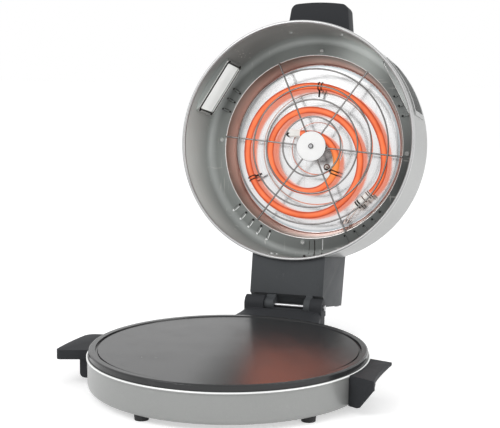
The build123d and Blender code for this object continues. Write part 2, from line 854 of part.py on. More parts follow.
tunnel_width = window_width + 2 * window_lip
tunnel_height = window_high - window_low + 2 * window_lip
tunnel_outer = (tunnel_width + 2 * window_wall, tunnel_height + 2 * window_wall)
cut_size = (tunnel_outer[0] + 2 * cut_gap, tunnel_outer[1] + 2 * cut_gap)
liner_wall = liner_radius - liner_sheet
window_angles = {"left": -90 - window_angle, "right": -90 + window_angle}
grip_screws_at = [(-90 - grip_screw_angle, grip_screw_height), (-90 + grip_screw_angle, grip_screw_height)]
box_screws_at = [
    (90 + side * box_screw_angle, height)
    for height in box_screw_heights
    for side in (-1, 1)
]
liner_screws_at = [(angle, liner_screw_height) for angle in liner_screw_angles]
wall_screws_at = liner_screws_at + box_screws_at

with BuildPart() as lid_shell:
    with BuildSketch(lid_profile):
        sheet(
            [
                (shell_radius, rim_height + 0.05),
                (shell_radius, shell_shoulder),
                (shell_step_radius + shell_step, shell_shoulder),
                (shell_step_radius, shell_shoulder + shell_step),
                (0, shell_shoulder + shell_step),
            ],
            [shell_corner, 1.5, 1.5],
            shell_sheet,
        )
    revolve(axis=lid_axis)
    for angle in window_angles.values():
        with BuildSketch(window_plane(angle, window_seat)):
            RectangleRounded(*cut_size, 3)
        extrude(amount=30, mode=Mode.SUBTRACT)
    for angle, height in grip_screws_at + box_screws_at:
        cut_round(lid_radial(angle, liner_radius, height), screw_radius + screw_clearance, 12)

lid_shell.part.label = "lid_shell"
export_step(lid_shell.part, "parts/lid_shell.step")

with BuildPart() as rim_ring:
    with BuildSketch(lid_profile) as rim_section:
        with Locations((rim_inner, 0)):
            Rectangle(rim_outer - rim_inner, rim_height, align=(Align.MIN, Align.MIN))
        fillet(rim_section.vertices().group_by(Axis.Y)[0], radius=rim_round)
    revolve(axis=lid_axis)

rim_ring.part.label = "rim_ring"
export_step(rim_ring.part, "parts/rim_ring.step")

shoulder_slope = (liner_depth - mouth_depth) / (liner_radius - mouth_radius)
shoulder_tilt = math.atan(shoulder_slope)


def shoulder_height(radius):
    """Height of the liner's sloping shoulder, on its hidden side."""
    return mouth_depth + (radius - mouth_radius) * shoulder_slope


def shoulder_plane(angle, radius):
    """A plane lying on the shoulder's hidden side and looking into the cooking space."""
    level = lid_radial(angle, radius, shoulder_height(radius))
    look = level.z_dir * math.sin(shoulder_tilt) - lid.z_dir * math.cos(shoulder_tilt)
    return Plane(origin=level.origin, x_dir=level.x_dir, z_dir=look)


louvre_angles = [
    first + step * louvre_spacing * i
    for first, step, count in louvre_sets
    for i in range(count)
]
dish_screw_radius = mouth_radius + dish_flange - dish_screw_inset
with BuildPart() as lid_liner:
    with BuildSketch(lid_profile):
        sheet(
            [
                (liner_radius, rim_height + 0.05),
                (liner_radius, liner_depth),
                (mouth_radius, mouth_depth),
            ],
            [liner_corner],
            liner_sheet,
        )
    revolve(axis=lid_axis)
    for angle in louvre_angles:
        with BuildSketch(shoulder_plane(angle, louvre_radius)):
            SlotOverall(louvre_length, louvre_width, rotation=90)
        extrude(amount=liner_sheet + louvre_rise)
        with BuildSketch(shoulder_plane(angle, louvre_radius).offset(-1)):
            SlotOverall(louvre_length - 1.6, louvre_width - 1.6, rotation=90)
        extrude(amount=liner_sheet + louvre_rise + 0.3, mode=Mode.SUBTRACT)
        with BuildSketch(shoulder_plane(angle, louvre_radius - louvre_length / 2 + louvre_hole / 2)):
            Circle(louvre_hole / 2)
        extrude(amount=6, mode=Mode.SUBTRACT)
    for angle in dish_screw_angles:
        cut_round(shoulder_plane(angle, dish_screw_radius).offset(-1), screw_radius + screw_clearance, 4)
    vent_plane = lid_radial(liner_vent[0], liner_wall - liner_corner, liner_vent[1])
    cut_round(vent_plane, liner_vent[2], liner_corner + 2)
    for angle in window_angles.values():
        with BuildSketch(window_plane(angle, window_seat)):
            RectangleRounded(*cut_size, 3)
        extrude(amount=30, mode=Mode.SUBTRACT)
    for angle, height in wall_screws_at:
        cut_round(lid_radial(angle, liner_wall - 3, height), screw_radius + screw_clearance, 6)

lid_liner.part.label = "lid_liner"
export_step(lid_liner.part, "parts/lid_liner.step")

shell_inside = shell_radius - shell_sheet
with BuildPart() as wall_screws:
    for angle, height in box_screws_at:
        screw(lid_radial(angle, liner_wall - 0.1, height), wall_screw_grip)
    for angle, height in liner_screws_at:
        screw(lid_radial(angle, liner_wall - 0.1, height), shell_inside - liner_wall - 0.2)
    for angle, height in grip_screws_at:
        screw(lid_radial(angle, shell_inside - 0.1, height), grip_screw_grip)

wall_screws.part.label = "wall_screws"
export_step(wall_screws.part, "parts/wall_screws.step")

with BuildPart() as wall_spacers:
    for angle, height in wall_screws_at:
        with BuildSketch(lid_radial(angle, liner_radius + 0.05, height)):
            Circle(screw_head_radius)
            Circle(screw_radius + screw_clearance, mode=Mode.SUBTRACT)
        extrude(amount=shell_inside - liner_radius - 0.15)

wall_spacers.part.label = "wall_spacers"
export_step(wall_spacers.part, "parts/wall_spacers.step")

# ---------------------------------------------------------------- lid: windows
glass_seat = window_seat + 2.4
glass_size = (tunnel_width - 2 * glass_gap, tunnel_height - 2 * glass_gap)
bezel_seat = glass_seat + glass_thick + 0.1
collar_outer = (tunnel_width - 0.4, tunnel_height - 0.4)
collar_inner = (collar_outer[0] - 2 * window_wall, collar_outer[1] - 2 * window_wall)
for side, angle in window_angles.items():
    with BuildPart() as window_frame:
        with BuildSketch(window_plane(angle, window_seat)):
            RectangleRounded(window_width + 2 * window_face, window_high - window_low + 2 * window_face, 6)
        extrude(amount=20)
        with BuildSketch(lid):
            Circle(liner_wall - 0.1)
        extrude(amount=130, mode=Mode.INTERSECT)
        with BuildSketch(window_plane(angle, window_seat)):
            RectangleRounded(*tunnel_outer, 3)
        extrude(amount=18)
        with BuildSketch(lid):
            Circle(shell_radius - 0.1)
        extrude(amount=130, mode=Mode.INTERSECT)
        with BuildSketch(window_plane(angle, window_seat - 1)):
            RectangleRounded(window_width, window_high - window_low, 2)
        extrude(amount=30, mode=Mode.SUBTRACT)
        with BuildSketch(window_plane(angle, glass_seat)):
            RectangleRounded(tunnel_width, tunnel_height, 2)
        extrude(amount=30, mode=Mode.SUBTRACT)
    window_frame.part.label = f"window_frame_{side}"
    export_step(window_frame.part, f"parts/window_frame_{side}.step")

    with BuildPart() as window_glass:
        with BuildSketch(window_plane(angle, glass_seat + 0.05)):
            RectangleRounded(*glass_size, 2)
        extrude(amount=glass_thick)
    window_glass.part.label = f"window_glass_{side}"
    export_step(window_glass.part, f"parts/window_glass_{side}.step")

    with BuildPart() as window_bezel:
        with BuildSketch(window_plane(angle, window_seat)):
            RectangleRounded(tunnel_outer[0] + 2 * bezel_width, tunnel_outer[1] + 2 * bezel_width, 7)
        extrude(amount=30)
        with BuildSketch(lid):
            Circle(shell_radius + bezel_proud)
            Circle(shell_radius + 0.1, mode=Mode.SUBTRACT)
        extrude(amount=130, mode=Mode.INTERSECT)
        with BuildSketch(window_plane(angle, bezel_seat)):
            RectangleRounded(*collar_outer, 2)
        extrude(amount=shell_radius + 0.6 - bezel_seat)
        with BuildSketch(lid):
            Circle(shell_radius + bezel_proud)
        extrude(amount=130, mode=Mode.INTERSECT)
        with BuildSketch(window_plane(angle, window_seat)):
            RectangleRounded(*collar_inner, 2)
        extrude(amount=30, mode=Mode.SUBTRACT)
    window_bezel.part.label = f"window_bezel_{side}"
    export_step(window_bezel.part, f"parts/window_bezel_{side}.step")


# ---------------------------------------------------------------- lid: reflector dish
def dish_level(radius):
    """Height of the dish's polished floor at a radius."""
    return dish_floor - dish_step * len([edge for edge in dish_edges if radius < edge])


dish_inner, dish_outer = dish_edges
dish_rim = mouth_radius + dish_flange
eyelet_place = (20.0, 33.0)
cutout_place = (-55.0, 70.0)
with BuildPart() as reflector_dish:
    with BuildSketch(lid_profile):
        sheet(
            [
                (0, dish_level(0)),
                (dish_inner, dish_level(0)),
                (dish_inner + 2, dish_level(dish_inner)),
                (dish_outer, dish_level(dish_inner)),
                (dish_outer + 2, dish_floor),
                (dish_floor_radius, dish_floor),
                (dish_radius, shoulder_height(dish_radius) + dish_gap),
                (dish_rim, shoulder_height(dish_rim) + dish_gap),
            ],
            [0.6, 0.6, 0.6, 0.6, 3.0, 1.2],
            dish_sheet,
        )
    revolve(axis=lid_axis)
    with BuildSketch(lid.offset(dish_level(0) - 1)):
        Circle(screw_radius + screw_clearance)
        with Locations(eyelet_place):
            Circle(3.4)
    extrude(amount=5, mode=Mode.SUBTRACT)
    for angle in louvre_angles:
        with BuildSketch(shoulder_plane(angle, louvre_radius).offset(-3)):
            SlotOverall(louvre_length + louvre_notch, louvre_width + louvre_notch, rotation=90)
        extrude(amount=3, mode=Mode.SUBTRACT)
    for angle in dish_screw_angles:
        cut_round(shoulder_plane(angle, dish_screw_radius).offset(-3), screw_radius + thread_fit, 3)

reflector_dish.part.label = "reflector_dish"
export_step(reflector_dish.part, "parts/reflector_dish.step")

with BuildPart() as dish_screws:
    for angle in dish_screw_angles:
        seat = shoulder_plane(angle, dish_screw_radius).offset(liner_sheet + 0.1)
        screw(Plane(origin=seat.origin, x_dir=seat.x_dir, z_dir=-seat.z_dir), dish_screw_grip)

dish_screws.part.label = "dish_screws"
export_step(dish_screws.part, "parts/dish_screws.step")

pad_low = dish_floor + dish_sheet + 0.1
pad_high = shell_shoulder - shell_sheet - 0.1
with BuildPart() as insulation_pad:
    with BuildSketch(lid.offset(pad_low)):
        Circle(dish_floor_radius - 2)
        Circle(12, mode=Mode.SUBTRACT)
        with Locations(eyelet_place):
            Circle(6, mode=Mode.SUBTRACT)
        with Locations(cutout_place):
            Circle(11, mode=Mode.SUBTRACT)
    extrude(amount=pad_high - pad_low)

insulation_pad.part.label = "insulation_pad"
export_step(insulation_pad.part, "parts/insulation_pad.step")

with BuildPart() as thermal_cutout:
    with BuildSketch(lid.offset(dish_level(90) + dish_sheet)):
        with Locations(cutout_place):
            Circle(9)
    extrude(amount=3)
    with BuildSketch(lid.offset(dish_level(90) + dish_sheet + 3)):
        with Locations(cutout_place):
            Circle(6.5)
    extrude(amount=3)

thermal_cutout.part.label = "thermal_cutout"
export_step(thermal_cutout.part, "parts/thermal_cutout.step")

with BuildPart() as lead_grommet:
    with BuildSketch(lid.offset(dish_level(0))):
        with Locations(eyelet_place):
            Circle(5.2)
            Circle(2, mode=Mode.SUBTRACT)
    extrude(amount=-1.6)
    with BuildSketch(lid.offset(dish_level(0))):
        with Locations(eyelet_place):
            Circle(3.2)
            Circle(2, mode=Mode.SUBTRACT)
    extrude(amount=2.4)

lead_grommet.part.label = "lead_grommet"
export_step(lead_grommet.part, "parts/lead_grommet.step")

# ---------------------------------------------------------------- lid: spiral heater
coil_plane = lid.offset(coil_height)
centres = [(coil_x, coil_y), (coil_x, coil_y - coil_pitch)]
with BuildPart() as upper_heater:
    with BuildLine(coil_plane) as coil_path:
        top_y = coil_y - coil_first
        Line((coil_x - coil_lead_in, top_y), (coil_x, top_y))
        for i in range(coil_half_turns):
            CenterArc(centres[i % 2], coil_first + coil_pitch * i, -90 + 180 * (i % 2), 180)
        last_radius = coil_first + coil_pitch * coil_half_turns
        CenterArc(centres[0], last_radius, -90, 90)
        tail_centre = (coil_x + last_radius - coil_tail_radius, coil_y)
        CenterArc(tail_centre, coil_tail_radius, 0, coil_tail_angle)
    coil_line = coil_path.wires()[0]
    with BuildSketch(Plane(origin=coil_line @ 0, z_dir=coil_line % 0)) as coil_section:
        Circle(coil_tube)
    sweep(coil_section.sketch, path=coil_line)

upper_heater.part.label = "upper_heater"
export_step(upper_heater.part, "parts/upper_heater.step")

samples = 400
places = [coil_line @ (i / samples) for i in range(samples + 1)]
apart = math.ceil(3 * coil_tube / (coil_line.length / samples))
nearest = min(
    (places[i] - places[j]).length for i in range(samples + 1) for j in range(i + apart, samples + 1)
)
print("least gap between the heater's turns", round(nearest - 2 * coil_tube, 2))

with BuildPart() as heater_ends:
    with BuildSketch(Plane(origin=coil_line @ 0, z_dir=-(coil_line % 0), x_dir=lid.z_dir)):
        RectangleRounded(9, 13, 3)
    extrude(amount=ceramic_short)
    with BuildSketch(Plane(origin=coil_line @ 1, z_dir=coil_line % 1)):
        Circle(ceramic_radius)
    extrude(amount=ceramic_long)

heater_ends.part.label = "heater_ends"
export_step(heater_ends.part, "parts/heater_ends.step")

with BuildPart() as heater_clips:
    for half_turn, angle in clips_at:
        centre = centres[half_turn % 2]
        radius = coil_first + coil_pitch * half_turn
        turn = math.radians(angle)
        spot = (centre[0] + radius * math.cos(turn), centre[1] + radius * math.sin(turn))
        outward = lid.x_dir * math.cos(turn) + lid.y_dir * math.sin(turn)
        leg = dish_level(math.hypot(*spot)) - coil_height
        along = outward.cross(lid.z_dir)
        clip_plane = Plane(origin=coil_plane.from_local_coords((*spot, 0)), x_dir=outward, z_dir=along)
        with BuildSketch(clip_plane):
            Circle(coil_tube + clip_gap + clip_sheet)
            with Locations((0, coil_tube)):
                Rectangle(3, leg - coil_tube, align=(Align.CENTER, Align.MIN))
            Circle(coil_tube + clip_gap, mode=Mode.SUBTRACT)
        extrude(amount=clip_width / 2, both=True)
        with BuildSketch(coil_plane.offset(leg - clip_sheet)):
            with Locations(spot):
                Rectangle(16, 8, rotation=angle)
        extrude(amount=clip_sheet)

heater_clips.part.label = "heater_clips"
export_step(heater_clips.part, "parts/heater_clips.step")

bracket_place = (59.0, 132.0)
with BuildPart() as terminal_bracket:
    spot_angle = math.degrees(math.atan2(bracket_place[1], bracket_place[0]))
    spot_radius = math.hypot(*bracket_place)
    with BuildSketch(lid.offset(dish_floor)):
        with PolarLocations(spot_radius, 1, start_angle=spot_angle):
            Rectangle(10, 16)
    extrude(amount=-1.2)
    with BuildSketch(lid_radial(spot_angle, spot_radius - 5, dish_floor)):
        Rectangle(16, 18, align=(Align.CENTER, Align.MAX))
        with Locations((0, -11)):
            Circle(3.5, mode=Mode.SUBTRACT)
    extrude(amount=1.2)

terminal_bracket.part.label = "terminal_bracket"
export_step(terminal_bracket.part, "parts/terminal_bracket.step")

# ---------------------------------------------------------------- lid: wire guard
ring_level = guard_height - 1.5 * guard_wire
hub_back = ring_level - guard_wire - 0.1
with BuildPart() as wire_guard:
    with BuildSketch(lid_profile):
        for radius in guard_rings:
            with Locations((radius, ring_level)):
                Circle(guard_wire)
    revolve(axis=lid_axis)
    for i in range(guard_spokes):
        angle = guard_turn + 360 / guard_spokes * i
        with BuildSketch(lid_radial(angle, stud_radius + 0.1, guard_height)):
            Circle(guard_wire)
        extrude(amount=guard_reach - stud_radius)

wire_guard.part.label = "wire_guard"
export_step(wire_guard.part, "parts/wire_guard.step")

with BuildPart() as hub_disc:
    with BuildSketch(lid.offset(hub_back)):
        Circle(hub_radius)
        Circle(screw_radius + screw_clearance, mode=Mode.SUBTRACT)
    extrude(amount=-hub_thick)
    fillet(hub_disc.edges().filter_by(GeomType.CIRCLE).sort_by(SortBy.RADIUS)[-2:], radius=0.8)

hub_disc.part.label = "hub_disc"
export_step(hub_disc.part, "parts/hub_disc.step")

with BuildPart() as hub_screw:
    screw(lid.offset(hub_back - hub_thick), 14)

hub_screw.part.label = "hub_screw"
export_step(hub_screw.part, "parts/hub_screw.step")

with BuildPart() as guard_stud:
    with BuildSketch(lid.offset(hub_back + 0.05)):
        Circle(stud_radius)
    extrude(amount=dish_level(0) - hub_back - 0.1)
    with BuildSketch(lid.offset(dish_level(0) - 1.6)):
        Circle(stud_radius + 4)
    extrude(amount=1.55)
    cut_round(lid.offset(hub_back), screw_radius + thread_fit, 16)

guard_stud.part.label = "guard_stud"
export_step(guard_stud.part, "parts/guard_stud.step")

# ---------------------------------------------------------------- lid: handle
with BuildPart() as lid_handle:
    with BuildSketch(lid.offset(grip_low)) as grip:
        with BuildLine():
            Line((-grip_base_half, -150), (-grip_base_half, -shell_radius))
            Line((-grip_base_half, -shell_radius), (-grip_top_half, -grip_reach + grip_crown))
            ThreePointArc(
                (-grip_top_half, -grip_reach + grip_crown),
                (0, -grip_reach),
                (grip_top_half, -grip_reach + grip_crown),
            )
            Line((grip_top_half, -grip_reach + grip_crown), (grip_base_half, -shell_radius))
            Line((grip_base_half, -shell_radius), (grip_base_half, -150))
            Line((grip_base_half, -150), (-grip_base_half, -150))
        make_face()
        fillet(grip.vertices().group_by(Axis.Y)[0], radius=grip_corner)
    extrude(amount=grip_high - grip_low)
    add(shell_space(gasket_thick + 0.2), mode=Mode.SUBTRACT)
    for angle, height in grip_screws_at:
        cut_round(lid_radial(angle, shell_radius, height), screw_radius + thread_fit, grip_screw_grip)

lid_handle.part.label = "lid_handle"
export_step(lid_handle.part, "parts/lid_handle.step")

with BuildPart() as handle_gasket:
    with BuildSketch(lid.offset(grip_low - 2)):
        with Locations((0, -shell_radius)):
            Rectangle(2 * gasket_half, 100)
    extrude(amount=grip_high - grip_low + 3)
    add(shell_space(gasket_thick + 0.1), mode=Mode.INTERSECT)
    add(shell_space(0.1), mode=Mode.SUBTRACT)
    for angle, height in grip_screws_at:
        cut_round(lid_radial(angle, shell_radius - 1, height), screw_radius + screw_clearance, 6)

handle_gasket.part.label = "handle_gasket"
export_step(handle_gasket.part, "parts/handle_gasket.step")

# ---------------------------------------------------------------- lid: rear box
top_tilt = math.atan2(box_top_high - box_back_high, box_back - box_top_front)
top_normal = lid.z_dir * math.cos(top_tilt) + lid.y_dir * math.sin(top_tilt)


def box_top(y):
    """Height of the box's sloping top at a distance towards the hinge."""
    return box_back_high + (box_back - y) * math.tan(top_tilt)


def top_plane(x, y):
    """A plane lying on the box's top."""
    return Plane(origin=lid.from_local_coords((x, y, box_top(y))), x_dir=lid.x_dir, z_dir=top_normal)


def cover_plane(x, height):
    """The plane of the back cover's face at one screw, looking into the box."""
    return Plane(origin=lid.from_local_coords((x, box_back, height)), x_dir=lid.x_dir, z_dir=-lid.y_dir)


corner_inset = 7.0
cover_corners = [
    (side * (box_half - corner_inset), height)
    for side in (-1, 1)
    for height in (box_back_low + corner_inset, box_back_high - corner_inset)
]
relief_y = hinge_in_lid[0]
relief_h = hinge_in_lid[1]
dial_plane = top_plane(knob_x, knob_y)
with BuildPart() as box_inside:
    with BuildSketch(lid_middle.offset(-box_half + box_wall)):
        with BuildLine():
            Polyline(
                (150, box_low + box_wall),
                (box_front_end, box_low + box_wall),
                (box_back + 1, box_back_low + box_wall),
                (box_back + 1, box_top(box_back + 1) - box_wall),
                (150, box_top(150) - box_wall),
                close=True,
            )
        make_face()
        with Locations((relief_y, relief_h)):
            Circle(hinge_relief + box_wall, mode=Mode.SUBTRACT)
    extrude(amount=2 * (box_half - box_wall))
    add(shell_space(cut_gap + box_wall), mode=Mode.SUBTRACT)

with BuildPart() as box_housing:
    with BuildSketch(lid_middle.offset(-box_half)):
        with BuildLine():
            Polyline(
                (150, box_low),
                (box_front_end, box_low),
                (box_back - box_cover, box_back_low),
                (box_back - box_cover, box_top(box_back - box_cover)),
                (150, box_top(150)),
                close=True,
            )
        make_face()
        with Locations((relief_y, relief_h)):
            Circle(hinge_relief, mode=Mode.SUBTRACT)
    extrude(amount=2 * box_half)
    add(box_inside.part, mode=Mode.SUBTRACT)
    for angle, height in box_screws_at:
        with BuildSketch(lid_radial(angle, shell_radius, height)):
            Circle(boss_radius)
        extrude(amount=14)
    for corner in cover_corners:
        with BuildSketch(cover_plane(*corner).offset(box_cover)):
            Circle(boss_radius)
        extrude(amount=13)
        cut_round(cover_plane(*corner), screw_radius + thread_fit, 13)
    for (low, high), radius in ((lug_left, lug_left_radius), (lug_right, knuckle_radius)):
        with BuildSketch(lid_middle.offset(low)):
            with Locations((relief_y, relief_h)):
                Circle(radius)
                Rectangle(34, 1.7 * radius, rotation=130, align=(Align.MIN, Align.CENTER))
        extrude(amount=high - low)
    with BuildSketch(lid_middle.offset(-box_half)):
        with Locations((box_back - box_cover, box_back_low - 0.1)):
            Rectangle(30, 60, align=(Align.MIN, Align.MIN))
    extrude(amount=2 * box_half, mode=Mode.SUBTRACT)
    add(shell_space(cut_gap), mode=Mode.SUBTRACT)
    for angle, height in box_screws_at:
        cut_round(lid_radial(angle, shell_radius, height), screw_radius + thread_fit, wall_screw_grip - 5)
    with BuildSketch(lid_middle.offset(-80)):
        with Locations((relief_y, relief_h)):
            Circle(pin_radius + pin_fit)
    extrude(amount=160, mode=Mode.SUBTRACT)
    cut_round(dial_plane.offset(-12), shaft_radius + 0.3, 24)
    for x in lamp_x:
        cut_round(top_plane(x, knob_y).offset(-12), lamp_radius + 0.1, 24)

box_housing.part.label = "box_housing"
export_step(box_housing.part, "parts/box_housing.step")

with BuildPart() as back_cover:
    with BuildSketch(lid_middle.offset(-box_half)):
        with Locations((box_back - box_cover + 0.05, box_back_low)):
            Rectangle(
                box_cover - 0.05,
                box_back_high - box_back_low,
                align=(Align.MIN, Align.MIN),
            )
    extrude(amount=2 * box_half)
    for corner in cover_corners:
        cut_round(cover_plane(*corner).offset(-1), screw_radius + screw_clearance, box_cover + 2)

back_cover.part.label = "box_cover"
export_step(back_cover.part, "parts/box_cover.step")

with BuildPart() as cover_screws:
    for corner in cover_corners:
        screw(cover_plane(*corner), 12)

cover_screws.part.label = "cover_screws"
export_step(cover_screws.part, "parts/cover_screws.step")

with BuildPart() as lid_terminal_block:
    with BuildSketch(lid_radial(90, shell_radius + cut_gap + box_wall + 0.1, 76)):
        RectangleRounded(48, 18, 2)
    extrude(amount=13)
    with BuildSketch(lid_radial(90, shell_radius + cut_gap + box_wall + 13.1, 76)):
        with GridLocations(11, 8, 4, 2):
            Circle(2.2)
    extrude(amount=-8, mode=Mode.SUBTRACT)

lid_terminal_block.part.label = "lid_terminal_block"
export_step(lid_terminal_block.part, "parts/lid_terminal_block.step")

# ---------------------------------------------------------------- lid: dial, knob and lamps
with BuildPart() as thermostat_body:
    with BuildSketch(dial_plane.offset(-box_wall - 0.1)):
        RectangleRounded(32, 26, 3)
        Circle(shaft_radius + pin_fit, mode=Mode.SUBTRACT)
    extrude(amount=-19)

thermostat_body.part.label = "thermostat_body"
export_step(thermostat_body.part, "parts/thermostat_body.step")

with BuildPart() as dial_plate:
    with BuildSketch(dial_plane):
        Circle(dial_radius)
        Circle(shaft_radius + 0.3, mode=Mode.SUBTRACT)
    extrude(amount=dial_thick)

dial_plate.part.label = "dial_plate"
export_step(dial_plate.part, "parts/dial_plate.step")

knob_seat = dial_thick + running_gap
with BuildPart() as control_knob:
    with BuildSketch(dial_plane.offset(knob_seat)):
        Circle(knob_radius)
    extrude(amount=3.5, taper=8)
    with BuildSketch(dial_plane.offset(knob_seat + 2)):
        RectangleRounded(9, 2 * knob_radius - 5, 4.4)
    extrude(amount=knob_height - 2, taper=4)
    with BuildSketch(dial_plane.offset(knob_seat + knob_height - 1)):
        with Locations((0, knob_radius - 7)):
            SlotOverall(8, 1.6, rotation=90)
    extrude(amount=2, mode=Mode.SUBTRACT)
    cut_round(dial_plane, shaft_radius + 0.02, knob_seat + 9)

control_knob.part.label = "control_knob"
export_step(control_knob.part, "parts/control_knob.step")

with BuildPart() as knob_shaft:
    with BuildSketch(dial_plane.offset(-box_wall - 16)):
        Circle(shaft_radius)
    extrude(amount=box_wall + 16 + knob_seat + 8.5)

knob_shaft.part.label = "knob_shaft"
export_step(knob_shaft.part, "parts/knob_shaft.step")

with BuildPart() as pilot_lamps:
    for x in lamp_x:
        with BuildSketch(top_plane(x, knob_y).offset(-10)):
            Circle(lamp_radius)
        extrude(amount=11.6)
    fillet(pilot_lamps.edges().group_by(Axis(lid.origin, top_normal))[-1], radius=1.4)

pilot_lamps.part.label = "pilot_lamps"
export_step(pilot_lamps.part, "parts/pilot_lamps.step")
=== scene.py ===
import json
import math

import bmesh
import bpy
from mathutils import Matrix, Vector


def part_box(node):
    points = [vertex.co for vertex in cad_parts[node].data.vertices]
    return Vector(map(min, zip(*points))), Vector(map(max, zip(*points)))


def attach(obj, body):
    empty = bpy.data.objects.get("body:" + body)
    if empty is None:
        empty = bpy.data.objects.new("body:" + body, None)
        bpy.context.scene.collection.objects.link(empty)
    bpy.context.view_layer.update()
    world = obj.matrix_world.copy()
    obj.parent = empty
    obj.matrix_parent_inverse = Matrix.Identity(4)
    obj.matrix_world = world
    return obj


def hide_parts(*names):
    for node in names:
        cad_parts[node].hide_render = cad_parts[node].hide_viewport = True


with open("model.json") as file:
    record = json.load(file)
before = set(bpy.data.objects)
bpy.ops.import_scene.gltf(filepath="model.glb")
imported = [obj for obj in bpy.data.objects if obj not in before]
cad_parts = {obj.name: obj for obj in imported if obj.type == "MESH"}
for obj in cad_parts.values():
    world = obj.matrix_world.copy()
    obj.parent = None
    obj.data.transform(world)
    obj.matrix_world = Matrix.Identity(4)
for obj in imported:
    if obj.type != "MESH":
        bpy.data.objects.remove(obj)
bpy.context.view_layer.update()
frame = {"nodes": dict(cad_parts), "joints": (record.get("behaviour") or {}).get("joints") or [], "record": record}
nodes = frame["nodes"]
print("frame loaded:", len(nodes), "nodes")

# the frame is in metres, and the tables of the wire pieces are in millimetres; places on the
# lid are given as they are on the closed lid, from the centre of its rim, and lidPlace
# carries them to where the lid stands open
mm = 0.001
hinge = [joint for joint in frame["joints"] if joint["name"] == "lid_hinge"][0]
hingePoint = Vector(hinge["pos_m"])
openTurn = math.radians(hinge["range_deg"][1])
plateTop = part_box("baking_plate")[1].z
rimGap = 0.6 * mm  # from the plate's top up to the rim of the closed lid
hingeSwing = Matrix.Rotation(-openTurn, 4, "X")
turnAboutHinge = Matrix.Translation(hingePoint) @ hingeSwing @ Matrix.Translation(-hingePoint)
lidPlace = turnAboutHinge @ Matrix.Translation((0, 0, plateTop + rimGap))
basePlace = Matrix.Identity(4)

cameraPlace = {
    "azimuth": 18.626,
    "elevation": 8.167,
    "distance": 1.70039,
    "target": (0.03198, 0, 0.25835),
    "roll": 0.32,
    "lens": 85.742,
    "sensor": 36,
    "farClip": 50,
}


def addCamera():
    turn = math.radians(cameraPlace["azimuth"])
    lift = math.radians(cameraPlace["elevation"])
    roll = math.radians(cameraPlace["roll"])
    back = Vector((math.sin(turn) * math.cos(lift), -math.cos(turn) * math.cos(lift), math.sin(lift)))
    level = Vector((math.cos(turn), math.sin(turn), 0))
    upright = back.cross(level)
    right = level * math.cos(roll) + upright * math.sin(roll)
    up = upright * math.cos(roll) - level * math.sin(roll)
    data = bpy.data.cameras.new("camera")
    data.lens = cameraPlace["lens"]
    data.sensor_width = cameraPlace["sensor"]
    data.sensor_fit = "HORIZONTAL"
    data.clip_end = cameraPlace["farClip"]
    camera = bpy.data.objects.new("camera", data)
    bpy.context.scene.collection.objects.link(camera)
    place = Matrix.Translation(Vector(cameraPlace["target"]) + back * cameraPlace["distance"])
    camera.matrix_world = place @ Matrix((right, up, back)).transposed().to_4x4()
    bpy.context.scene.camera = camera


addCamera()
print("camera placed")

studio = {
    "worldStrength": 0.6,
    "floorSize": 12,
    "floorColor": (0.9, 0.9, 0.9, 1),
    "floorLift": 0.47,
    # name, place, aim, size and watts
    "lamps": (
        ("key", (-1.3, -1.9, 2.3), (0, 0.1, 0.25), (1.6, 1.6), 26),
        ("fill", (2.6, -0.5, 1.1), (0, 0.3, 0.3), (1.6, 1.6), 14),
        ("back", (0.6, 2.4, 2.2), (0, 0.3, 0.3), (1.8, 1.2), 10),
    ),
}


def addWorld():
    world = bpy.data.worlds.new("studio")
    bpy.context.scene.world = world
    world.use_nodes = True
    tree = world.node_tree
    tree.nodes.clear()
    output = tree.nodes.new("ShaderNodeOutputWorld")
    seen = tree.nodes.new("ShaderNodeBackground")
    seen.inputs["Color"].default_value = (1, 1, 1, 1)
    seen.inputs["Strength"].default_value = 1
    light = tree.nodes.new("ShaderNodeBackground")
    light.inputs["Color"].default_value = (1, 1, 1, 1)
    light.inputs["Strength"].default_value = studio["worldStrength"]
    path = tree.nodes.new("ShaderNodeLightPath")
    first = tree.nodes.new("ShaderNodeMath")
    first.operation = "MAXIMUM"
    second = tree.nodes.new("ShaderNodeMath")
    second.operation = "MAXIMUM"
    mix = tree.nodes.new("ShaderNodeMixShader")
    link = tree.links.new
    link(path.outputs["Is Camera Ray"], first.inputs[0])
    link(path.outputs["Is Glossy Ray"], first.inputs[1])
    link(first.outputs[0], second.inputs[0])
    link(path.outputs["Is Transmission Ray"], second.inputs[1])
    link(second.outputs[0], mix.inputs[0])
    link(light.outputs[0], mix.inputs[1])
    link(seen.outputs[0], mix.inputs[2])
    link(mix.outputs[0], output.inputs["Surface"])


def addLamp(name, place, aim, size, watts):
    data = bpy.data.lights.new(name, "AREA")
    data.shape = "RECTANGLE"
    data.size, data.size_y = size
    data.energy = watts
    lamp = bpy.data.objects.new(name, data)
    bpy.context.scene.collection.objects.link(lamp)
    lamp.location = place
    lamp.rotation_euler = (Vector(aim) - Vector(place)).to_track_quat("-Z", "Y").to_euler()


